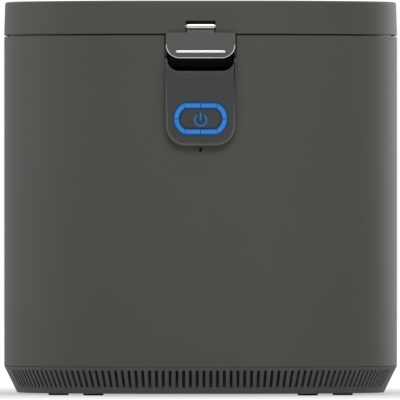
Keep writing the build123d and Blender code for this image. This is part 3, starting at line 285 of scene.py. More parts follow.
# the plate's bead and edge are cut through the paint with a diamond tool
cutEdge = dict(name="diamondCutZinc", light="#e8e8e6", dark="#dcdcda", mark=0.4, depth=0.001, roughness=0.4,
               stretch=(0.05, 1, 1))

finishes = {slot: mouldedPlastic(look) for slot, look in plastics.items()}
finishes.update({slot: workedMetal(look) for slot, look in metals.items()})
finishes["coated_aluminium"] = nonStickCoat(coat)
finishes["panel_grey"] = glowingPlastic(panelSkin)
finishes["ring_blue"] = litPolycarbonate(ringGlow)
finishes["board_green"] = circuitBoard(boardMask)
panelFrameHighlight = mouldedPlastic(frameHighlightSkin)
brightCut = workedMetal(cutEdge)
symbolLight = litPolycarbonate(symbolGlow)
print("materials made:", len(bpy.data.materials))


# Camera, floor and light

# the camera's place and lens, in millimetres
shot = dict(lens=1600.0, sensor=36.0, across=-0.5, away=14980.0, height=163.2)
lamps = {
    # place and size in metres, level is the brightness that it gives a white card that faces it
    "frontSoft": dict(place=(0.3, -3.0, 3.2), size=(3.2, 2.0), level=0.64),
    "topSoft": dict(place=(0.0, -0.2, 4.0), size=(3.0, 2.6), level=0.16),
    "rightStrip": dict(place=(2.2, -2.3, 1.0), size=(0.5, 2.2), level=0.05),
    "leftFill": dict(place=(-3.6, 0.4, 1.0), size=(0.8, 2.4), level=0.22),
    "rightRim": dict(place=(2.0, 2.8, 0.8), size=(1.0, 2.0), level=0.27),
}
# the studio: a white backdrop behind the machine, and a dim room on the camera's side
studio = dict(room=0.2, backdrop=0.35, turn=(-0.25, 0.35), target=(0, 0, 0.16))
# the floor, in metres: a painted shadow, greyest to the camera close round the machine and whiter away from
# it
ground = dict(size=16.0, bounce="#e7e7e7", seen="#8b8b8b", fade=(0.175, 0.75), near=0.51, far=0.98)


def makeCamera():
    data = bpy.data.cameras.new("photoCamera")
    data.lens = shot["lens"]
    data.sensor_width = shot["sensor"]
    data.clip_end = 200.0
    camera = bpy.data.objects.new("photoCamera", data)
    camera.location = (shot["across"] * mm, -shot["away"] * mm, shot["height"] * mm)
    camera.rotation_euler = (math.pi / 2, 0, 0)
    bpy.context.scene.collection.objects.link(camera)
    bpy.context.scene.camera = camera


def makeWorld():
    world = bpy.data.worlds.new("studio")
    world.use_nodes = True
    bpy.context.scene.world = world
    tree = world.node_tree
    way = addNode(tree, "SeparateXYZ", {0: addNode(tree, "TexCoord").outputs["Generated"]})
    behind = addNode(tree, "MapRange", {"Value": way.outputs[1], "From Min": studio["turn"][0],
                                        "From Max": studio["turn"][1]}).outputs[0]
    light = addNode(tree, "MapRange", {"Value": behind, "To Min": studio["room"],
                                       "To Max": studio["backdrop"]}).outputs[0]
    # the camera, metal and glass see the backdrop white
    ray = addNode(tree, "LightPath").outputs
    mirrored = addNode(tree, "Math", {0: ray["Is Glossy Ray"], 1: ray["Is Transmission Ray"]},
                       operation="MAXIMUM")
    mirrored = addNode(tree, "Math", {0: mirrored.outputs[0], 1: behind}, operation="MULTIPLY")
    white = addNode(tree, "Math", {0: ray["Is Camera Ray"], 1: mirrored.outputs[0]}, operation="MAXIMUM")
    level = addNode(tree, "Math", {0: white.outputs[0], 1: light}, operation="MAXIMUM")
    tree.links.new(level.outputs[0], tree.nodes["Background"].inputs["Strength"])
    tree.nodes["Background"].inputs["Color"].default_value = (1, 1, 1, 1)


def makeFloor():
    bm = bmesh.new()
    bmesh.ops.create_grid(bm, x_segments=1, y_segments=1, size=ground["size"] / 2)
    mesh = bpy.data.meshes.new("floor")
    bm.to_mesh(mesh)
    bm.free()
    floor = bpy.data.objects.new("floor", mesh)
    bpy.context.scene.collection.objects.link(floor)
    material, tree, shader = blankMaterial("paleFloor", Roughness=1.0, Specular_IOR_Level=0.0)
    shader.inputs["Emission Color"].default_value = (1, 1, 1, 1)
    place = addNode(tree, "SeparateXYZ", {0: addNode(tree, "TexCoord").outputs["Object"]}).outputs
    away = addNode(tree, "CombineXYZ", {0: place[0], 1: place[1]})
    away = addNode(tree, "VectorMath", {0: away.outputs[0]}, operation="LENGTH").outputs["Value"]
    # the glow that camera and mirror rays see is weakest close round the machine: a painted shadow round it
    paintedShadowLift = addNode(tree, "MapRange", {"Value": away, "From Min": ground["fade"][0],
                                      "From Max": ground["fade"][1], "To Min": ground["near"],
                                      "To Max": ground["far"]})
    ray = addNode(tree, "LightPath").outputs
    seen = addNode(tree, "Math", {0: ray["Is Glossy Ray"], 1: ray["Is Transmission Ray"]},
                   operation="MAXIMUM")
    seen = addNode(tree, "Math", {0: ray["Is Camera Ray"], 1: seen.outputs[0]},
                   operation="MAXIMUM").outputs[0]
    paintedShadowLift = addNode(tree, "Math", {0: paintedShadowLift.outputs[0], 1: seen}, operation="MULTIPLY")
    tone = addNode(tree, "Mix", {0: seen, 6: linear(ground["bounce"]), 7: linear(ground["seen"])},
                   data_type="RGBA")
    tree.links.new(tone.outputs[2], shader.inputs["Base Color"])
    tree.links.new(paintedShadowLift.outputs[0], shader.inputs["Emission Strength"])
    mesh.materials.append(material)


def makeLamp(name, look):
    data = bpy.data.lights.new(name, "AREA")
    data.shape = "RECTANGLE"
    data.size, data.size_y = look["size"]
    way = Vector(studio["target"]) - Vector(look["place"])
    data.energy = look["level"] * math.pi ** 2 * way.length_squared
    lamp = bpy.data.objects.new(name, data)
    lamp.location = look["place"]
    lamp.rotation_euler = way.to_track_quat("-Z", "Y").to_euler()
    bpy.context.scene.collection.objects.link(lamp)


bpy.context.scene.view_settings.view_transform = "Standard"
makeCamera()
makeWorld()
makeFloor()
for lampName, lampLook in lamps.items():
    makeLamp(lampName, lampLook)
print("camera, floor and lamps placed")


# Tools that the pieces share

def boxOf(node):
    low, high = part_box(node)
    return low / mm, high / mm


trayLow, trayHigh = boxOf("base_tray")
plan = dict(width=trayHigh.x - trayLow.x, depth=trayHigh.y - trayLow.y, radius=131.0, steps=48)
frontY = trayLow.y
rearY = trayHigh.y

clear = 1.0  # how far past a wall its cutter reaches
bite = 1.0  # how far a boss or lug is sunk into what carries it
hair = 0.001  # left between a full round's two arcs, so that they don't meet before newFace merges them


def near(value, target, slack=0.01):
    return abs(value - target) < slack


def fromAxis(co, centre=(0, 0)):
    return math.hypot(co.x - centre[0], co.y - centre[1])


def spread(size, middle=0.0):
    return (middle - size / 2, middle + size / 2)


def soften(bm, items, size, segments, affect="EDGES"):
    return bmesh.ops.bevel(bm, geom=items, offset=size, segments=segments, profile=0.5, affect=affect,
                           material=-1)


def vertsOf(items):
    return [item for item in items if isinstance(item, bmesh.types.BMVert)]


def newFace(bm, known):
    # the face made since, where a full round's two arcs are merged into one; its corners are taken in the
    # mesh's own order, because a set's order changes from run to run
    corners = [vert for vert in bm.verts if any(face not in known for face in vert.link_faces)]
    bmesh.ops.remove_doubles(bm, verts=corners, dist=0.01)
    return next(face for face in bm.faces if face not in known)


def sheet(bm, wide, long):
    # a level rectangle round the origin, given back as its corners
    corners = bmesh.ops.create_grid(bm, x_segments=1, y_segments=1, size=0.5)["verts"]
    bmesh.ops.scale(bm, vec=(wide, long, 1), verts=corners)
    return corners


def planFace(bm, inset, height):
    # the body's rounded plan, drawn in by inset, as a flat face
    known = set(bm.faces)
    corners = sheet(bm, plan["width"] - 2 * inset, plan["depth"] - 2 * inset)
    bmesh.ops.translate(bm, vec=(0, 0, height), verts=corners)
    soften(bm, corners, plan["radius"] - inset, plan["steps"], "VERTICES")
    return newFace(bm, known)


def planLoft(bm, stations, closed=False):
    # walls between the plan's faces at each (inset, height), and the edges of each station;
    # they are bridged while stacked apart, because a bridge between level loops can turn over
    known = set(bm.faces)
    faces = [planFace(bm, inset, level) for level, (inset, height) in enumerate(stations)]
    rings = [list(face.edges) for face in faces]
    for first, second in zip(rings, rings[1:] + (rings[:1] if closed else [])):
        bmesh.ops.bridge_loops(bm, edges=first + second)
    for level, (inset, height) in enumerate(stations):
        bmesh.ops.translate(bm, vec=(0, 0, height - level), verts=list(faces[level].verts))
    bmesh.ops.delete(bm, geom=faces if closed else faces[1:-1], context="FACES_ONLY")
    bmesh.ops.recalc_face_normals(bm, faces=[face for face in bm.faces if face not in known])
    return rings


def uprightFace(bm, across, up, y, lower=0.0, upper=0.0, steps=10):
    # a face that looks along Y, with its lower and upper corners rounded
    known = set(bm.faces)
    corners = sheet(bm, across[1] - across[0], up[1] - up[0])
    bmesh.ops.rotate(bm, cent=(0, 0, 0), matrix=Matrix.Rotation(math.pi / 2, 3, "X"), verts=corners)
    bmesh.ops.translate(bm, vec=(sum(across) / 2, y, sum(up) / 2), verts=corners)
    ends = [([v for v in corners if v.co.z < sum(up) / 2], lower),
            ([v for v in corners if v.co.z > sum(up) / 2], upper)]
    for end, radius in ends:
        if radius:
            soften(bm, end, radius, steps, "VERTICES")
    return newFace(bm, known)


def pull(bm, face, way):
    # draws a face out into a solid, and gives back the face at its far end
    made = bmesh.ops.extrude_face_region(bm, geom=[face, *face.edges])["geom"]
    end = next(item for item in made if isinstance(item, bmesh.types.BMFace))
    bmesh.ops.translate(bm, vec=way, verts=list(end.verts))
    return end


def uprightBlock(bm, across, up, y, lower=0.0, upper=0.0, steps=10):
    # a solid between two depths, and its face at the second one
    return pull(bm, uprightFace(bm, across, up, y[0], lower, upper, steps), (0, y[1] - y[0], 0))


def flatPlate(bm, across, along, low, high, corner, steps=6):
    # a plate with rounded corners that lies level, and its upper face
    known = set(bm.faces)
    corners = sheet(bm, across[1] - across[0], along[1] - along[0])
    bmesh.ops.translate(bm, vec=(sum(across) / 2, sum(along) / 2, low), verts=corners)
    if corner:
        soften(bm, corners, corner, steps, "VERTICES")
    return pull(bm, newFace(bm, known), (0, 0, high - low))


def box(bm, low, high):
    middle = [(a + b) / 2 for a, b in zip(low, high)]
    size = [b - a for a, b in zip(low, high)]
    made = bmesh.ops.create_cube(bm, size=1.0)["verts"]
    bmesh.ops.scale(bm, vec=size, verts=made)
    bmesh.ops.translate(bm, vec=middle, verts=made)
    return made


def cylinder(bm, radius, length, middle, sides, turn=Matrix()):
    bmesh.ops.create_cone(bm, cap_ends=True, segments=sides, radius1=radius, radius2=radius, depth=length,
                          matrix=Matrix.Translation(middle) @ turn)


def drum(bm, radius, low, high, centre, sides):
    cylinder(bm, radius, high - low, (*centre, (low + high) / 2), sides)


def rod(bm, radius, across, y, z, sides=32):
    cylinder(bm, radius, across[1] - across[0], (sum(across) / 2, y, z), sides,
             Matrix.Rotation(math.pi / 2, 4, "Y"))


def turned(bm, points, centre=(0, 0), steps=96, closed=True):
    # spins a (radius, height) outline about an upright axis
    corners = [bm.verts.new((centre[0] + radius, centre[1], height)) for radius, height in points]
    pairs = zip(corners, corners[1:] + (corners[:1] if closed else []))
    edges = [bm.edges.new(pair) for pair in pairs]
    bmesh.ops.spin(bm, geom=corners + edges, cent=(*centre, 0), axis=(0, 0, 1), angle=2 * math.pi,
                   steps=steps, use_merge=True)
    bmesh.ops.remove_doubles(bm, verts=bm.verts, dist=0.001)


def roundEdges(bm, size, test, segments=3):
    # bevels the edges whose two ends both pass the test
    chosen = [edge for edge in bm.edges if all(test(vert.co) for vert in edge.verts)]
    soften(bm, chosen, size, segments)


def roundCircle(bm, size, height, radius, centre, segments=3, slack=0.01):
    # rounds the circular edge at that height and distance from an upright axis
    roundEdges(bm, size, lambda co: near(co.z, height) and near(fromAxis(co, centre), radius, slack),
               segments)


def thicken(bm, way):
    # draws all of a flat outline out into a solid
    made = bmesh.ops.extrude_face_region(bm, geom=list(bm.faces))["geom"]
    bmesh.ops.translate(bm, vec=way, verts=vertsOf(made))


def faceOut(bm):
    bmesh.ops.recalc_face_normals(bm, faces=bm.faces)
    if bm.calc_volume(signed=True) < 0:
        bmesh.ops.reverse_faces(bm, faces=bm.faces)


def combine(bm, other, operation="DIFFERENCE"):
    # cuts another solid out of this one, or joins it on
    held = []
    for part in (bm, other):
        faceOut(part)
        mesh = bpy.data.meshes.new("held")
        part.to_mesh(mesh)
        held.append(bpy.data.objects.new("held", mesh))
        bpy.context.scene.collection.objects.link(held[-1])
    other.free()
    change = held[0].modifiers.new("combine", "BOOLEAN")
    change.object = held[1]
    change.operation = operation
    change.solver = "EXACT"
    graph = bpy.context.evaluated_depsgraph_get()
    bm.clear()
    bm.from_mesh(held[0].evaluated_get(graph).to_mesh())
    for item in held:
        mesh = item.data
        bpy.data.objects.remove(item)
        bpy.data.meshes.remove(mesh)


sharpAngle = math.radians(32.0)  # past it an edge isn't shaded smooth


def finishPiece(name, bm, nodes, materials=None, even=False):
    bmesh.ops.remove_doubles(bm, verts=bm.verts, dist=0.0005)
    faceOut(bm)
    bmesh.ops.scale(bm, vec=(mm, mm, mm), verts=bm.verts)
    for face in bm.faces:
        face.smooth = True
    for edge in bm.edges:
        edge.smooth = len(edge.link_faces) == 2 and edge.calc_face_angle(math.pi) < sharpAngle
    mesh = bpy.data.meshes.new(name)
    bm.to_mesh(mesh)
    bm.free()
    for material in materials or [finishes[nodeSlot[nodes[0]]]]:
        mesh.materials.append(material)
    piece = bpy.data.objects.new(name, mesh)
    bpy.context.scene.collection.objects.link(piece)
    if even:  # flat faces keep their own direction beside rounded edges
        weights = piece.modifiers.new("evenShading", "WEIGHTED_NORMAL")
        weights.keep_sharp = True
    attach(piece, nodeBody[nodes[0]])
    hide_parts(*nodes)


print("shared tools ready")


# Tray: chamfered skirt with its row of vent slots

# slant is the sloping wall's thickness measured level, as a share of wall
tray = dict(chamfer=11.0, top=23.8, wall=3.0, slant=1.1, seat=0.2, lap=0.2, rim=2.0, rimHeight=6.0,
            lowEdge=0.5, baffle=(13.3, 14.8), slotWidth=2.5, slotPitch=5.65, slotLow=6.4, slotHigh=21.2,
            slotsEachSide=35, slotDepth=7.0,
            bosses=[(5.0, 8.0, [(-52, -38), (52, -38), (-30, 34), (30, 34), (0, -96)]),
                    (3.0, 20.0, [(95, -38), (95, 38), (129, -38), (129, 38)])])


def slotPlaces():
    # each slot's place at mid height, with its Z axis out of the sloping wall
    slope = tray["chamfer"] / (tray["top"] - trayLow.z)
    middle = (tray["slotLow"] + tray["slotHigh"]) / 2
    radius = plan["radius"] - (tray["top"] - middle) * slope
    straight = plan["width"] / 2 - plan["radius"]
    for index in range(tray["slotsEachSide"]):
        run = (index + 0.5) * tray["slotPitch"]
        angle = max(0.0, run - straight) / radius
        x = min(run, straight) + radius * math.sin(angle)
        y = -(plan["depth"] / 2 - plan["radius"]) - radius * math.cos(angle)
        for side in (1, -1):
            for end, turn in ((1, angle), (-1, math.pi - angle)):
                yield (Matrix.Translation((side * x, end * y, middle)) @ Matrix.Rotation(side * turn, 4, "Z")
                       @ Matrix.Rotation(math.pi / 2 + math.atan(slope), 4, "X"))


def makeTray():
    low, top, wall = trayLow.z, tray["top"], tray["wall"]
    slope = tray["chamfer"] / (top - low)
    seat, rimTop = top + tray["seat"], top + tray["rimHeight"]
    rimOut = wall + tray["lap"]
    rimIn = rimOut + tray["rim"]
    slant = tray["slant"] * wall
    bm = bmesh.new()
    rings = planLoft(bm, [
        (tray["chamfer"], low), (0, top), (wall / 2, top), (wall / 2, seat), (rimOut, seat),
        (rimOut, rimTop), (rimIn, rimTop), (rimIn, top - (rimIn - slant) / slope),
        (slant + (top - low - wall) * slope, low + wall)])
    soften(bm, rings[0] + rings[1], tray["lowEdge"], 3)
    cutter = bmesh.new()
    length = (tray["slotHigh"] - tray["slotLow"]) * math.hypot(1, slope)
    for place in slotPlaces():
        known = set(cutter.verts)
        flatPlate(cutter, spread(tray["slotWidth"]), spread(length), *spread(tray["slotDepth"]),
                  tray["slotWidth"] / 2 - hair, 4)
        bmesh.ops.transform(cutter, matrix=place, verts=[v for v in cutter.verts if v not in known])
    combine(bm, cutter)
    baffle = tray["baffle"]
    planLoft(bm, [(baffle[0], low + wall / 2), (baffle[0], tray["slotHigh"]), (baffle[1], tray["slotHigh"]),
                  (baffle[1], low + wall / 2)], closed=True)
    for radius, high, places in tray["bosses"]:
        for centre in places:
            drum(bm, radius, low + wall / 2, high, centre, 24)
    finishPiece("ventedTray", bm, ["base_tray"], even=True)


feet = dict(radius=8.5, stem=3.0, stemTop=5.6, edge=0.45, places=[(118.8, 110.0), (89.5, 133.0)])


def makeFeet():
    bm = bmesh.new()
    for x, y in feet["places"]:
        for centre in ((x, y), (-x, y), (x, -y), (-x, -y)):
            turned(bm, [(0, 0), (feet["radius"] - feet["edge"], 0), (feet["radius"], feet["edge"]),
                        (feet["radius"], trayLow.z), (feet["stem"], trayLow.z),
                        (feet["stem"], feet["stemTop"]), (0, feet["stemTop"])], centre, 40, closed=False)
    finishPiece("rubberFeet", bm, ["rubber_feet"])


# Casing: one moulded wall, with the openings that the other pieces fill

casing = dict(low=boxOf("outer_casing")[0].z, top=300.3, wall=3.0, edge=0.4, ledge=2.5, ledgeTop=297.6,
              slitHalf=1.1, slit=(203.4, 207.1), board=((-21, 21), (214, 262), 4.0),
              slitDeep=0.8, recess=30.4, recessLow=281.1, notch=7.5, notchLow=290.0, notchDeep=7.0,
              rear=((-60, 60), (146, 276), 12.0), rearDeep=12.0, inlet=((-13.6, 13.6), (41.7, 62.3)))
scoop = dict(across=(-29.05, 29.05), up=(269.55, 289.15), corner=8.0, wall=1.15, depth=14.0, soft=4.0)
hinge = dict(y=177.0, z=301.25, radius=4.0, room=0.4, pin=1.5, inner=11.5, outer=29.5, gap=0.5)


def makeCasing():
    low, top, wall = casing["low"], casing["top"], casing["wall"]
    bm = bmesh.new()
    rings = planLoft(bm, [(0, low), (0, top), (wall, top), (wall, casing["ledgeTop"]),
                          (wall + casing["ledge"], casing["ledgeTop"]),
                          (wall + casing["ledge"], casing["ledgeTop"] - wall),
                          (wall, casing["ledgeTop"] - wall), (wall, low)], closed=True)
    soften(bm, rings[0] + rings[1], casing["edge"], 3)
    barrels = bmesh.new()
    for side in (1, -1):
        ends = sorted((side * (hinge["inner"] + hinge["gap"]), side * hinge["outer"]))
        rod(barrels, hinge["radius"], ends, hinge["y"], hinge["z"])
    combine(bm, barrels, "UNION")
    cutter = bmesh.new()
    through = (frontY - 2 * clear, frontY + 2 * wall)
    uprightBlock(cutter, scoop["across"], scoop["up"], through, scoop["corner"], scoop["corner"])
    # the slit is cut only part way in, and its floor takes the near-black material: painted shade in place of
    # a deep slit
    uprightBlock(cutter, (-casing["slitHalf"], casing["slitHalf"]), casing["slit"],
                 (frontY - 2 * clear, frontY + casing["slitDeep"] * wall))
    across, up, corner = casing["board"]
    uprightBlock(cutter, across, up, through, corner, corner)
    combine(bm, cutter)
    cutter = bmesh.new()
    recess = casing["recess"]
    box(cutter, (-recess, frontY - clear, casing["recessLow"]), (recess, frontY + wall / 2, top + clear))
    combine(bm, cutter)
    cutter = bmesh.new()
    box(cutter, (-casing["notch"], frontY - clear, casing["notchLow"]),
        (casing["notch"], frontY + casing["notchDeep"], top + clear))
    through = (rearY - casing["rearDeep"], rearY + 2 * clear)
    across, up, corner = casing["rear"]
    uprightBlock(cutter, across, up, through, corner, corner)
    uprightBlock(cutter, *casing["inlet"], through)
    rod(cutter, hinge["radius"] + hinge["room"], spread(2 * (hinge["inner"] + hinge["gap"])),
        hinge["y"], hinge["z"])
    combine(bm, cutter)
    cutter = bmesh.new()
    rod(cutter, hinge["pin"], spread(4 * hinge["outer"]), hinge["y"], hinge["z"], 24)
    combine(bm, cutter)
    # darker materials on the recess round the latch plate and on the slit's floor: painted shade
    paintedShadeZones = [(recess, (casing["recessLow"], top), wall / 2), (casing["slitHalf"], casing["slit"], wall)]
    slack = 0.01
    for face in bm.faces:
        x, y, z = face.calc_center_median()
        for index, (half, up, deep) in enumerate(paintedShadeZones, 1):
            if (abs(x) < half + slack and up[0] - slack < z < up[1] + slack
                    and frontY + 2 * slack < y < frontY + deep + slack):
                face.material_index = index
    finishPiece("casingShell", bm, ["outer_casing"],
                [finishes[slot] for slot in ("body_grey", "inner_grey", "scoop_black")], even=True)


# Deck round the bucket's mouth, whose rim shows dark through the parting line

deck = dict(low=297.6, top=300.6, inset=3.1, rim=(5.0, 8.0), rimTop=304.5, edge=0.5,
            mouth=(114.0, (0, -38)), duct=((-17, 17), (82, 92)), notch=8.0, notchDeep=8.5, latchHalf=21.0,
            past=310.0)  # past is a height above every piece of the deck


def makeDeck():
    bm = bmesh.new()
    rings = planLoft(bm, [(deck["inset"], deck["low"]), (deck["inset"], deck["top"]),
                          (deck["rim"][0], deck["top"]), (deck["rim"][0], deck["rimTop"]),
                          (deck["rim"][1], deck["rimTop"]), (deck["rim"][1], deck["top"])])
    soften(bm, rings[3] + rings[4], deck["edge"], 2)
    cutter = bmesh.new()
    radius, centre = deck["mouth"]
    drum(cutter, radius, deck["low"] - 2 * clear, deck["top"] + 2 * clear, centre, 128)
    across, along = deck["duct"]
    box(cutter, (across[0], along[0], deck["low"] - 2 * clear),
        (across[1], along[1], deck["top"] + 2 * clear))
    combine(bm, cutter)
    for half, low in ((deck["notch"], deck["low"] - clear), (deck["latchHalf"], deck["top"])):
        cutter = bmesh.new()
        box(cutter, (-half, frontY, low), (half, frontY + deck["notchDeep"], deck["past"]))
        combine(bm, cutter)
    finishPiece("mouthDeck", bm, ["top_deck"])


grille = dict(across=(-22, 22), along=(80.5, 93.5), corner=3.0, low=300.6, top=302.0, edge=0.5,
              slots=7, pitch=4.6, slot=(2.2, 9.0))


def makeGrille():
    bm = bmesh.new()
    top = flatPlate(bm, grille["across"], grille["along"], grille["low"], grille["top"], grille["corner"])
    soften(bm, list(top.edges), grille["edge"], 3)
    cutter = bmesh.new()
    middle = sum(grille["along"]) / 2
    wide, long = grille["slot"]
    for index in range(grille["slots"]):
        x = (index - (grille["slots"] - 1) / 2) * grille["pitch"]
        flatPlate(cutter, spread(wide, x), spread(long, middle), grille["low"] - clear,
                  grille["top"] + clear, wide / 2)
    combine(bm, cutter)
    finishPiece("intakeGrille", bm, ["intake_grille"])


# Finger scoop behind the latch plate

def makeScoop():
    bm = bmesh.new()
    back = frontY + scoop["depth"] + scoop["wall"]
    mouth = uprightBlock(bm, scoop["across"], scoop["up"], (back, frontY), scoop["corner"], scoop["corner"])
    bmesh.ops.inset_individual(bm, faces=[mouth], thickness=scoop["wall"], use_even_offset=True)
    end = pull(bm, mouth, (0, scoop["depth"], 0))
    soften(bm, list(end.edges), scoop["soft"], 6)
    # the scoop's near-black is partly painted shade under the latch plate
    finishPiece("fingerScoop", bm, ["finger_scoop"])


# Control panel, with the lit ring and the button

panel = dict(half=29.05, low=208.4, high=281.0, corner=16.7, proud=6.0, skin=2.0, edge=0.5, frame=1.4,
             hollowHigh=267.0, mouthHalf=27.9, mouthLow=270.7, mouthCorner=10.0, mouthEdge=1.6,
             post=2.0, posts=[(17.8, 217.4), (17.8, 258.0)], postBack=-170.0)
ring = dict(z=230.9, barHalf=13.55, barZ=10.9, stroke=3.85, arcX=8.1, arcRadius=12.0, split=0.6, recess=0.15,
            trim=0.05, backing=1.2)
button = dict(half=17.0, height=16.2, gap=0.2, edge=0.4, lip=1.6, lipThick=1.0, lipY=-176.8)
symbol = dict(z=229.8, radius=5.6, stroke=1.35, open=math.radians(36), bar=(229.3, 236.0),
              corner=0.3, sink=0.15, below=0.02)  # the lit sign stays just below the button's face


def mirrorCopies(bm, items, axis):
    # repeats the items on the other side of the X or Z axis
    copies = bmesh.ops.duplicate(bm, geom=items)["geom"]
    way = [-1 if name == axis else 1 for name in "XYZ"]
    bmesh.ops.scale(bm, vec=way, verts=vertsOf(copies))


def ringSegments(bm, trim, y):
    # four bars and four arcs round the button, each drawn trim inside its outline
    half = ring["stroke"] / 2 - trim
    part = bmesh.new()
    bar = uprightFace(part, (ring["split"] / 2 + trim, ring["barHalf"] - trim),
                      (ring["barZ"] - half, ring["barZ"] + half), y[0])
    ends = [part.verts.new((ring["arcX"] + ring["arcRadius"] + side * half, y[0], 0)) for side in (-1, 1)]
    bmesh.ops.spin(part, geom=ends + [part.edges.new(ends)], cent=(ring["arcX"], y[0], 0), axis=(0, -1, 0),
                   angle=math.pi / 2, steps=32)
    cuts = [((ring["barHalf"] + ring["split"] / 2 + trim, 0, 0), (-1, 0, 0)),
            ((0, 0, ring["split"] / 2 + trim), (0, 0, -1))]
    for point, way in cuts:
        arc = [face for face in part.faces if face is not bar]
        rims = [item for item in part.edges[:] + part.verts[:]
                if any(face is not bar for face in item.link_faces)]
        bmesh.ops.bisect_plane(part, geom=arc + rims, dist=0.0001, plane_co=point, plane_no=way,
                               clear_outer=True)
    thicken(part, (0, y[1] - y[0], 0))
    for axis in "XZ":
        mirrorCopies(part, part.verts[:] + part.edges[:] + part.faces[:], axis)
    bmesh.ops.translate(part, vec=(0, 0, ring["z"]), verts=part.verts)
    bmesh.ops.recalc_face_normals(part, faces=part.faces)
    mesh = bpy.data.meshes.new("part")
    part.to_mesh(mesh)
    part.free()
    bm.from_mesh(mesh)
    bpy.data.meshes.remove(mesh)


def buttonBlock(bm, grow, y):
    half, tall = button["half"] + grow, button["height"] / 2 + grow
    corner = tall - hair
    return uprightBlock(bm, (-half, half), (ring["z"] - tall, ring["z"] + tall), y, corner, corner, 16)


def makePanel():
    face = frontY - panel["proud"]
    bm = bmesh.new()
    front = uprightBlock(bm, (-panel["half"], panel["half"]), (panel["low"], panel["high"]), (frontY, face),
                         lower=panel["corner"], steps=20)
    rim = [edge for edge in front.edges if not all(near(v.co.z, panel["high"]) for v in edge.verts)]
    soften(bm, rim, panel["edge"], 3)
    front = max((item for item in bm.faces if near(item.calc_center_median().y, face)),
                key=lambda item: item.calc_area())
    bmesh.ops.inset_individual(bm, faces=[front], thickness=panel["frame"], use_even_offset=True)
    cutter = bmesh.new()
    skin = panel["skin"]
    inner = panel["half"] - skin
    uprightBlock(cutter, (-inner, inner), (panel["low"] + skin, panel["hollowHigh"] - skin),
                 (frontY + clear, face + skin), lower=panel["corner"] - skin)
    combine(bm, cutter)
    cutter = bmesh.new()
    uprightBlock(cutter, spread(2 * panel["mouthHalf"]), (panel["mouthLow"], panel["high"] + 5 * clear),
                 (frontY + clear, face - clear), lower=panel["mouthCorner"], steps=16)
    through = (face + 1.5 * skin, face - clear)
    buttonBlock(cutter, button["gap"], through)
    ringSegments(cutter, 0, through)
    combine(bm, cutter)
    # the mouth's edge is rounded along its bottom and up three quarters of its corners
    half, low, slack = panel["mouthHalf"], panel["mouthLow"], 0.02
    roundTop = low + 0.75 * panel["mouthCorner"]
    roundEdges(bm, panel["mouthEdge"], lambda co: near(co.y, face) and abs(co.x) < half + slack
               and low - slack < co.z < roundTop, 4)
    for item in bm.faces:
        # the frame is what lies within its own width of the panel's outline
        middle = item.calc_center_median()
        past = max(abs(middle.x) - panel["half"] + panel["corner"], 0)
        under = max(panel["low"] + panel["corner"] - middle.z, 0)
        inside = panel["corner"] - math.hypot(past, under)
        atFront = middle.y < face + panel["edge"] and item.normal.y < -0.1
        # the frame's lighter colour is a painted highlight along the rim
        if atFront and inside < panel["frame"] + panel["edge"]:
            item.material_index = 1
    for x, z in panel["posts"]:
        for side in (1, -1):
            y = (face + bite, panel["postBack"])
            cylinder(bm, panel["post"], y[1] - y[0], (side * x, sum(y) / 2, z), 24,
                     Matrix.Rotation(math.pi / 2, 4, "X"))
    finishPiece("controlPanel", bm, ["control_panel"], [finishes["panel_grey"], panelFrameHighlight], even=True)


def makeRing():
    face = frontY - panel["proud"]
    back = face + panel["skin"] + ring["backing"]
    bm = bmesh.new()
    ringSegments(bm, ring["trim"], (back, face + ring["recess"]))
    finishPiece("lightRing", bm, ["light_guide"])


def makeButton():
    face = frontY - panel["proud"]
    bm = bmesh.new()
    front = buttonBlock(bm, 0, (button["lipY"], face))
    soften(bm, list(front.edges), button["edge"], 3)
    lip = bmesh.new()
    buttonBlock(lip, button["lip"], (button["lipY"] + button["lipThick"], button["lipY"]))
    combine(bm, lip, "UNION")
    cutter = bmesh.new()
    symbolSolid(cutter, (face + symbol["sink"], face - clear))
    combine(bm, cutter)
    finishPiece("powerButton", bm, ["power_button"], even=True)
    bm = bmesh.new()
    symbolSolid(bm, (face + symbol["sink"], face + symbol["below"]))
    finishPiece("powerSymbol", bm, ["power_button"], [symbolLight])


def symbolSolid(bm, y):
    # the generic power sign: an open circle and a bar
    inner = symbol["radius"] - symbol["stroke"]
    start = math.pi / 2 + symbol["open"]
    ends = [bm.verts.new((radius * math.cos(start), y[0], symbol["z"] + radius * math.sin(start)))
            for radius in (inner, symbol["radius"])]
    bmesh.ops.spin(bm, geom=ends + [bm.edges.new(ends)], cent=(0, y[0], symbol["z"]), axis=(0, -1, 0),
                   angle=2 * (math.pi - symbol["open"]), steps=56)
    thicken(bm, (0, y[1] - y[0], 0))
    uprightBlock(bm, spread(symbol["stroke"]), symbol["bar"], y, symbol["corner"], symbol["corner"], 3)


for make in (makeTray, makeFeet, makeCasing, makeDeck, makeGrille, makeScoop, makePanel, makeRing,
             makeButton):
    make()
    print("made", make.__name__[4:])


# Lid

barrelLow, barrelHigh = boxOf("latch_barrel")
pinY, pinZ = (barrelLow.y + barrelHigh.y) / 2, (barrelLow.z + barrelHigh.z) / 2
lid = dict(low=301.7, top=329.3, taper=0.8, wall=3.0, lowEdge=0.5, topEdge=2.0, boss=(20.5, 304.4, 315.5),
           bossFront=1.5, pocketBack=8.4, slotBack=7.4, slotHalf=12.5, slotTop=312.6,
           pinHalf=19.0, pinRoom=0.05,
           linerBoss=5.0, linerPlaces=[(0, 135), (0, -135), (128, 50), (128, -50), (-128, 50), (-128, -50)],
           linerTop=305.4)


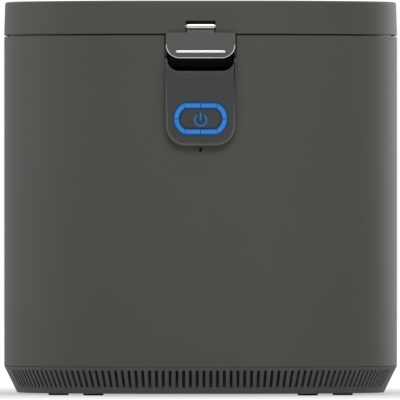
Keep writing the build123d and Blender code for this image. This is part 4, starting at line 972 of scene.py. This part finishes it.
def makeLid():
    low, top, wall, taper = lid["low"], lid["top"], lid["wall"], lid["taper"]
    bm = bmesh.new()
    rings = planLoft(bm, [(wall + taper, top - wall), (wall, low), (0, low), (taper, top)])
    soften(bm, rings[3], lid["topEdge"], 6)
    soften(bm, rings[2], lid["lowEdge"], 3)
    half, bossLow, bossHigh = lid["boss"]
    extra = bmesh.new()
    box(extra, (-half, frontY + lid["bossFront"], bossLow), (half, frontY + lid["pocketBack"], bossHigh))
    for centre in lid["linerPlaces"]:
        drum(extra, lid["linerBoss"], lid["linerTop"], top - wall / 2, centre, 24)
    rod(extra, hinge["radius"], (-hinge["inner"], hinge["inner"]), hinge["y"], hinge["z"])
    combine(bm, extra, "UNION")
    cutter = bmesh.new()
    box(cutter, (-lid["slotHalf"], frontY - clear, low - clear),
        (lid["slotHalf"], frontY + lid["slotBack"], lid["slotTop"]))
    for side in (1, -1):
        ends = sorted((side * hinge["inner"], side * (hinge["outer"] + hinge["gap"])))
        rod(cutter, hinge["radius"] + hinge["room"], ends, hinge["y"], hinge["z"])
    combine(bm, cutter)
    cutter = bmesh.new()
    rod(cutter, hinge["pin"] + lid["pinRoom"], spread(4 * hinge["inner"]), hinge["y"], hinge["z"], 24)
    rod(cutter, hinge["pin"], spread(2 * lid["pinHalf"]), pinY, pinZ, 24)
    combine(bm, cutter)
    finishPiece("lidShell", bm, ["lid_shell"], even=True)


liner = dict(low=303.2, top=305.4, inset=8.6, centre=(0, -8), outer=112.0, inner=110.4, domeTop=313.4,
             skin=1.6, mouthEdge=1.2, soft=3.0)


def makeLiner():
    bm = bmesh.new()
    planLoft(bm, [(liner["inset"], liner["low"]), (liner["inset"], liner["top"])])
    dome = bmesh.new()
    drum(dome, liner["outer"], liner["top"] - bite, liner["domeTop"], liner["centre"], 128)
    combine(bm, dome, "UNION")
    dish = bmesh.new()
    drum(dish, liner["inner"], liner["low"] - clear, liner["domeTop"] - liner["skin"], liner["centre"], 128)
    combine(bm, dish)
    for height, size, segments in ((liner["low"], liner["mouthEdge"], 3),
                                   (liner["domeTop"] - liner["skin"], liner["soft"], 5)):
        roundCircle(bm, size, height, liner["inner"], liner["centre"], segments, slack=0.1)
    finishPiece("lidLiner", bm, ["lid_liner"])


gasket = dict(inset=(10.0, 13.0), low=300.8, top=303.2, lip=0.8)


def makeGasket():
    first, second = gasket["inset"]
    bm = bmesh.new()
    planLoft(bm, [(first, gasket["top"]), (first, gasket["low"] + gasket["lip"]),
                  (first + gasket["lip"], gasket["low"]), (second - gasket["lip"], gasket["low"]),
                  (second, gasket["low"] + gasket["lip"]), (second, gasket["top"])], closed=True)
    finishPiece("lidGasket", bm, ["lid_gasket"])


# Latch: painted zinc plate with a bright-cut edge and bead, and the polished bar

latch = dict(half=29.0, low=281.1, high=302.6, back=-175.5, front=-178.5, corner=11.4, cut=0.8,
             beadHalf=20.9, beadZ=286.7, beadHigh=2.5, beadProud=1.1, beadEdge=1.0, beadSunk=0.2,
             # the neck's depths are measured from the pin, and it laps into the bar and over the plate
             neckHalf=11.5, neckLap=0.3, neckBevel=0.8, neckDepths=(-2.2, -1.6, 2.0, 1.0),
             neckSunk=(0.5, 1.0),
             nose=((-6, -176, 291.5), (6, -168.6, 294.5)), lip=((-6, -170.6, 294.0), (6, -168.6, 295.5)))


def makeLatch():
    bm = bmesh.new()
    front = uprightBlock(bm, (-latch["half"], latch["half"]), (latch["low"], latch["high"]),
                         (latch["back"], latch["front"]), latch["corner"], steps=16)
    rim = [edge for edge in front.edges if not all(near(v.co.z, latch["high"]) for v in edge.verts)]
    for item in soften(bm, rim, latch["cut"], 3)["faces"]:
        if item.calc_center_median().z < latch["low"] + latch["corner"]:
            item.material_index = 1
    seat, lap, bevel = barrelLow.z, latch["neckLap"], latch["neckBevel"]
    face, back, high = latch["front"], latch["back"], latch["high"]
    noseY, cradleY, endY, footY = [pinY + depth for depth in latch["neckDepths"]]
    sunkY, sunkZ = latch["neckSunk"]
    neck = [(face, high), (face, seat - lap - bevel), (face + bevel, seat - lap), (noseY, seat - lap),
            (cradleY, seat + lap), (endY, seat + lap), (footY, high + lap), (back, high + lap),
            (back - sunkY, high - sunkZ)]
    side = bm.faces.new([bm.verts.new((-latch["neckHalf"], y, z)) for y, z in neck])
    pull(bm, side, (2 * latch["neckHalf"], 0, 0))
    for low, high in (latch["nose"], latch["lip"]):
        box(bm, low, high)
    known = set(bm.faces)
    end = latch["beadHigh"] / 2 - hair
    bead = uprightBlock(bm, spread(2 * latch["beadHalf"]), spread(latch["beadHigh"], latch["beadZ"]),
                        (face + latch["beadSunk"], face - latch["beadProud"]), end, end, 8)
    soften(bm, list(bead.edges), latch["beadEdge"], 5)
    for item in bm.faces:
        if item not in known:
            item.material_index = 1
    finishPiece("latchPlate", bm, ["latch_lever"], [finishes["latch_grey"], brightCut], even=True)


barrel = dict(radius=3.0, half=11.5, edge=0.3, bore=1.55)


def makeBarrel():
    bm = bmesh.new()
    points = [(barrel["bore"], -barrel["half"]), (barrel["radius"], -barrel["half"]),
              (barrel["radius"], barrel["half"]), (barrel["bore"], barrel["half"])]
    turned(bm, points, steps=64)
    roundEdges(bm, barrel["edge"], lambda co: near(fromAxis(co), barrel["radius"]), 2)
    bmesh.ops.rotate(bm, cent=(0, 0, 0), matrix=Matrix.Rotation(math.pi / 2, 3, "Y"), verts=bm.verts)
    bmesh.ops.translate(bm, vec=(0, pinY, pinZ), verts=bm.verts)
    finishPiece("latchBar", bm, ["latch_barrel"])


# Rear: filter cover with its louvres, and the mains inlet

cover = dict(half=68.0, up=(138.0, 284.0), corner=16.0, face=181.0, deep=16.0, edge=1.3, skin=2.4,
             columns=(-29, 29), rows=9, pitch=10.5, slot=(48.0, 3.4), lug=((-20, 20), (146.3, 273.7), 2.0),
             lugStart=169.5, room=0.1)


def makeCover():
    bm = bmesh.new()
    face, deep, skin, corner = cover["face"], cover["deep"], cover["skin"], cover["corner"]
    back = uprightBlock(bm, spread(2 * cover["half"]), cover["up"], (face - deep, face), corner, corner, 16)
    soften(bm, list(back.edges), cover["edge"], 4)
    cutter = bmesh.new()
    inner = cover["half"] - skin
    uprightBlock(cutter, (-inner, inner), (cover["up"][0] + skin, cover["up"][1] - skin),
                 (face - skin, face - 2 * deep), corner - skin, corner - skin, 16)
    combine(bm, cutter)
    cutter = bmesh.new()
    planLoft(cutter, [(-cover["room"], cover["up"][0] - clear), (-cover["room"], cover["up"][1] + clear)])
    combine(bm, cutter)
    cutter = bmesh.new()
    wide, tall = cover["slot"]
    end = tall / 2 - hair
    for x in cover["columns"]:
        for row in range(cover["rows"]):
            z = sum(cover["up"]) / 2 + (row - (cover["rows"] - 1) / 2) * cover["pitch"]
            uprightBlock(cutter, spread(wide, x), spread(tall, z), (face - 2 * skin, face + clear),
                         end, end, 5)
    combine(bm, cutter)
    across, lows, thick = cover["lug"]
    for z in lows:
        box(bm, (across[0], cover["lugStart"], z), (across[1], face - bite, z + thick))
    finishPiece("filterCover", bm, ["filter_cover"], even=True)


inlet = dict(z=52.0, flange=(31.0, 24.6), flangeCorner=3.0, flangeThick=2.0, edge=0.6, body=(27.2, 20.6),
             bodyDeep=24.0, socket=(24.4, 16.8), socketLow=1.0, socketCut=5.0, socketDeep=19.0)


def makeInlet():
    bm = bmesh.new()
    face = rearY + inlet["flangeThick"]
    corner = inlet["flangeCorner"]
    front = uprightBlock(bm, spread(inlet["flange"][0]), spread(inlet["flange"][1], inlet["z"]),
                         (rearY, face), corner, corner, 6)
    soften(bm, list(front.edges), inlet["edge"], 3)
    body = bmesh.new()
    uprightBlock(body, spread(inlet["body"][0]), spread(inlet["body"][1], inlet["z"]),
                 (rearY - inlet["bodyDeep"], rearY + bite / 2))
    combine(bm, body, "UNION")
    socket = bmesh.new()
    uprightBlock(socket, spread(inlet["socket"][0]), spread(inlet["socket"][1], inlet["z"]),
                 (face - inlet["socketDeep"], face + clear), inlet["socketLow"], inlet["socketCut"], 1)
    combine(bm, socket)
    finishPiece("mainsInlet", bm, ["power_inlet"])


# Well, bucket and bail

well = dict(centre=(0, -38), radius=110.0, sheet=2.0, low=116.0, rim=118.0, top=302.1, under=300.6,
            hub=(11.0, 14.0, 106.0), bore=6.5, rimEdge=0.5, mouthEdge=1.2, foot=6.0)


def makeWell():
    bm = bmesh.new()
    sheet, radius, low = well["sheet"], well["radius"], well["low"]
    hubInner, hubOuter, hubLow = well["hub"]
    turned(bm, [(hubOuter, low), (radius + sheet, low), (radius + sheet, well["under"]),
                (well["rim"], well["under"]), (well["rim"], well["top"]), (radius, well["top"]),
                (radius, low + sheet), (well["bore"], low + sheet), (well["bore"], low), (hubInner, low),
                (hubInner, hubLow), (hubOuter, hubLow)], well["centre"], 128)
    roundCircle(bm, well["mouthEdge"], well["top"], radius, well["centre"], 4)
    roundCircle(bm, well["rimEdge"], well["top"], well["rim"], well["centre"])
    roundCircle(bm, well["foot"], low + sheet, radius, well["centre"], 6)
    finishPiece("bucketWell", bm, ["well"])


bucket = dict(low=127.0, high=292.0, lowRadius=100.0, topRadius=105.0, wall=2.5, floor=4.0, rim=108.0,
              rimThick=2.0, hub=(10.0, 147.0), bore=5.05, foot=3.0, inside=5.0, rimEdge=0.6,
              lug=(97.5, 103.0, 5.0, 283.0, 301.0), lugCrown=3.0, stub=(2.0, 100.0, 107.5, 297.0),
              breakers=(35, 215), breaker=((61, 100), (-4.5, 4.5), (151.5, 156.5)))


def makeBucket():
    bm = bmesh.new()
    centre = well["centre"]
    low, high, wall = bucket["low"], bucket["high"], bucket["wall"]
    rim, bore = bucket["rim"], bucket["bore"]
    lowRadius, topRadius = bucket["lowRadius"], bucket["topRadius"]
    floorTop = low + bucket["floor"]
    hubRadius, hubTop = bucket["hub"]
    turned(bm, [(bore, low), (lowRadius, low), (topRadius, high - bucket["rimThick"]),
                (rim, high - bucket["rimThick"]), (rim, high), (topRadius - wall, high),
                (lowRadius - wall, floorTop), (hubRadius, floorTop), (hubRadius, hubTop), (bore, hubTop)],
           centre, 128)
    roundCircle(bm, bucket["foot"], low, lowRadius, centre, 5)
    roundCircle(bm, bucket["inside"], floorTop, lowRadius - wall, centre, 6)
    roundEdges(bm, bucket["rimEdge"], lambda co: near(co.z, high), 3)
    extra = bmesh.new()
    lugNear, lugFar, lugHalf, lugLow, lugHigh = bucket["lug"]
    radius, stubNear, stubFar, stubZ = bucket["stub"]
    for side in (1, -1):
        ends = sorted((side * lugNear, side * lugFar))
        lugVerts = box(extra, (ends[0], centre[1] - lugHalf, lugLow), (ends[1], centre[1] + lugHalf, lugHigh))
        crown = [e for e in extra.edges if all(v in lugVerts and near(v.co.z, lugHigh) for v in e.verts)
                 and near(e.verts[0].co.y, e.verts[1].co.y)]
        soften(extra, crown, bucket["lugCrown"], 5)
    for turn in bucket["breakers"]:
        across, along, up = bucket["breaker"]
        bar = box(extra, (across[0], along[0], up[0]), (across[1], along[1], up[1]))
        place = Matrix.Translation((*centre, 0)) @ Matrix.Rotation(math.radians(turn), 4, "Z")
        bmesh.ops.transform(extra, matrix=place, verts=bar)
    combine(bm, extra, "UNION")
    stubs = bmesh.new()
    for side in (1, -1):
        rod(stubs, radius, sorted((side * stubNear, side * stubFar)), centre[1], stubZ, 24)
    combine(bm, stubs, "UNION")
    finishPiece("wasteBucket", bm, ["bucket"])


bail = dict(width=3.0, high=4.0, edge=0.7, radius=105.5, z=294.1, eye=4.6, eyeZ=297.0, eyeHalf=1.5, bore=2.08)


def makeBail():
    bm = bmesh.new()
    x, y = well["centre"]
    face = uprightFace(bm, spread(bail["width"], x - bail["radius"]), spread(bail["high"], bail["z"]), y,
                       bail["edge"], bail["edge"], 3)
    bmesh.ops.spin(bm, geom=[face], cent=(x, y, bail["z"]), axis=(0, 0, 1), angle=math.pi, steps=72)
    eyes = bmesh.new()
    for side in (1, -1):
        rod(eyes, bail["eye"], spread(2 * bail["eyeHalf"], side * bail["radius"]), y, bail["eyeZ"])
    combine(bm, eyes, "UNION")
    bores = bmesh.new()
    for side in (1, -1):
        rod(bores, bail["bore"], spread(4 * bail["eyeHalf"], side * bail["radius"]), y, bail["eyeZ"], 24)
    combine(bm, bores)
    finishPiece("bucketBail", bm, ["bucket_handle"])


for make in (makeLid, makeLiner, makeGasket, makeLatch, makeBarrel, makeCover, makeInlet, makeWell,
             makeBucket, makeBail):
    make()
    print("made", make.__name__[4:])


# Every other node: its own shape, merged and shaded smooth

def camelName(node):
    first, *rest = node.split("_")
    return first + "".join(word.capitalize() for word in rest)


def smoothCopy(node):
    bm = bmesh.new()
    bm.from_mesh(frame["nodes"][node].data)
    bmesh.ops.scale(bm, vec=(1 / mm, 1 / mm, 1 / mm), verts=bm.verts)
    bmesh.ops.remove_doubles(bm, verts=bm.verts, dist=0.002)
    finishPiece(camelName(node), bm, [node])


for node, shown in frame["nodes"].items():
    if not shown.hide_render:
        smoothCopy(node)
print("remaining nodes finished")
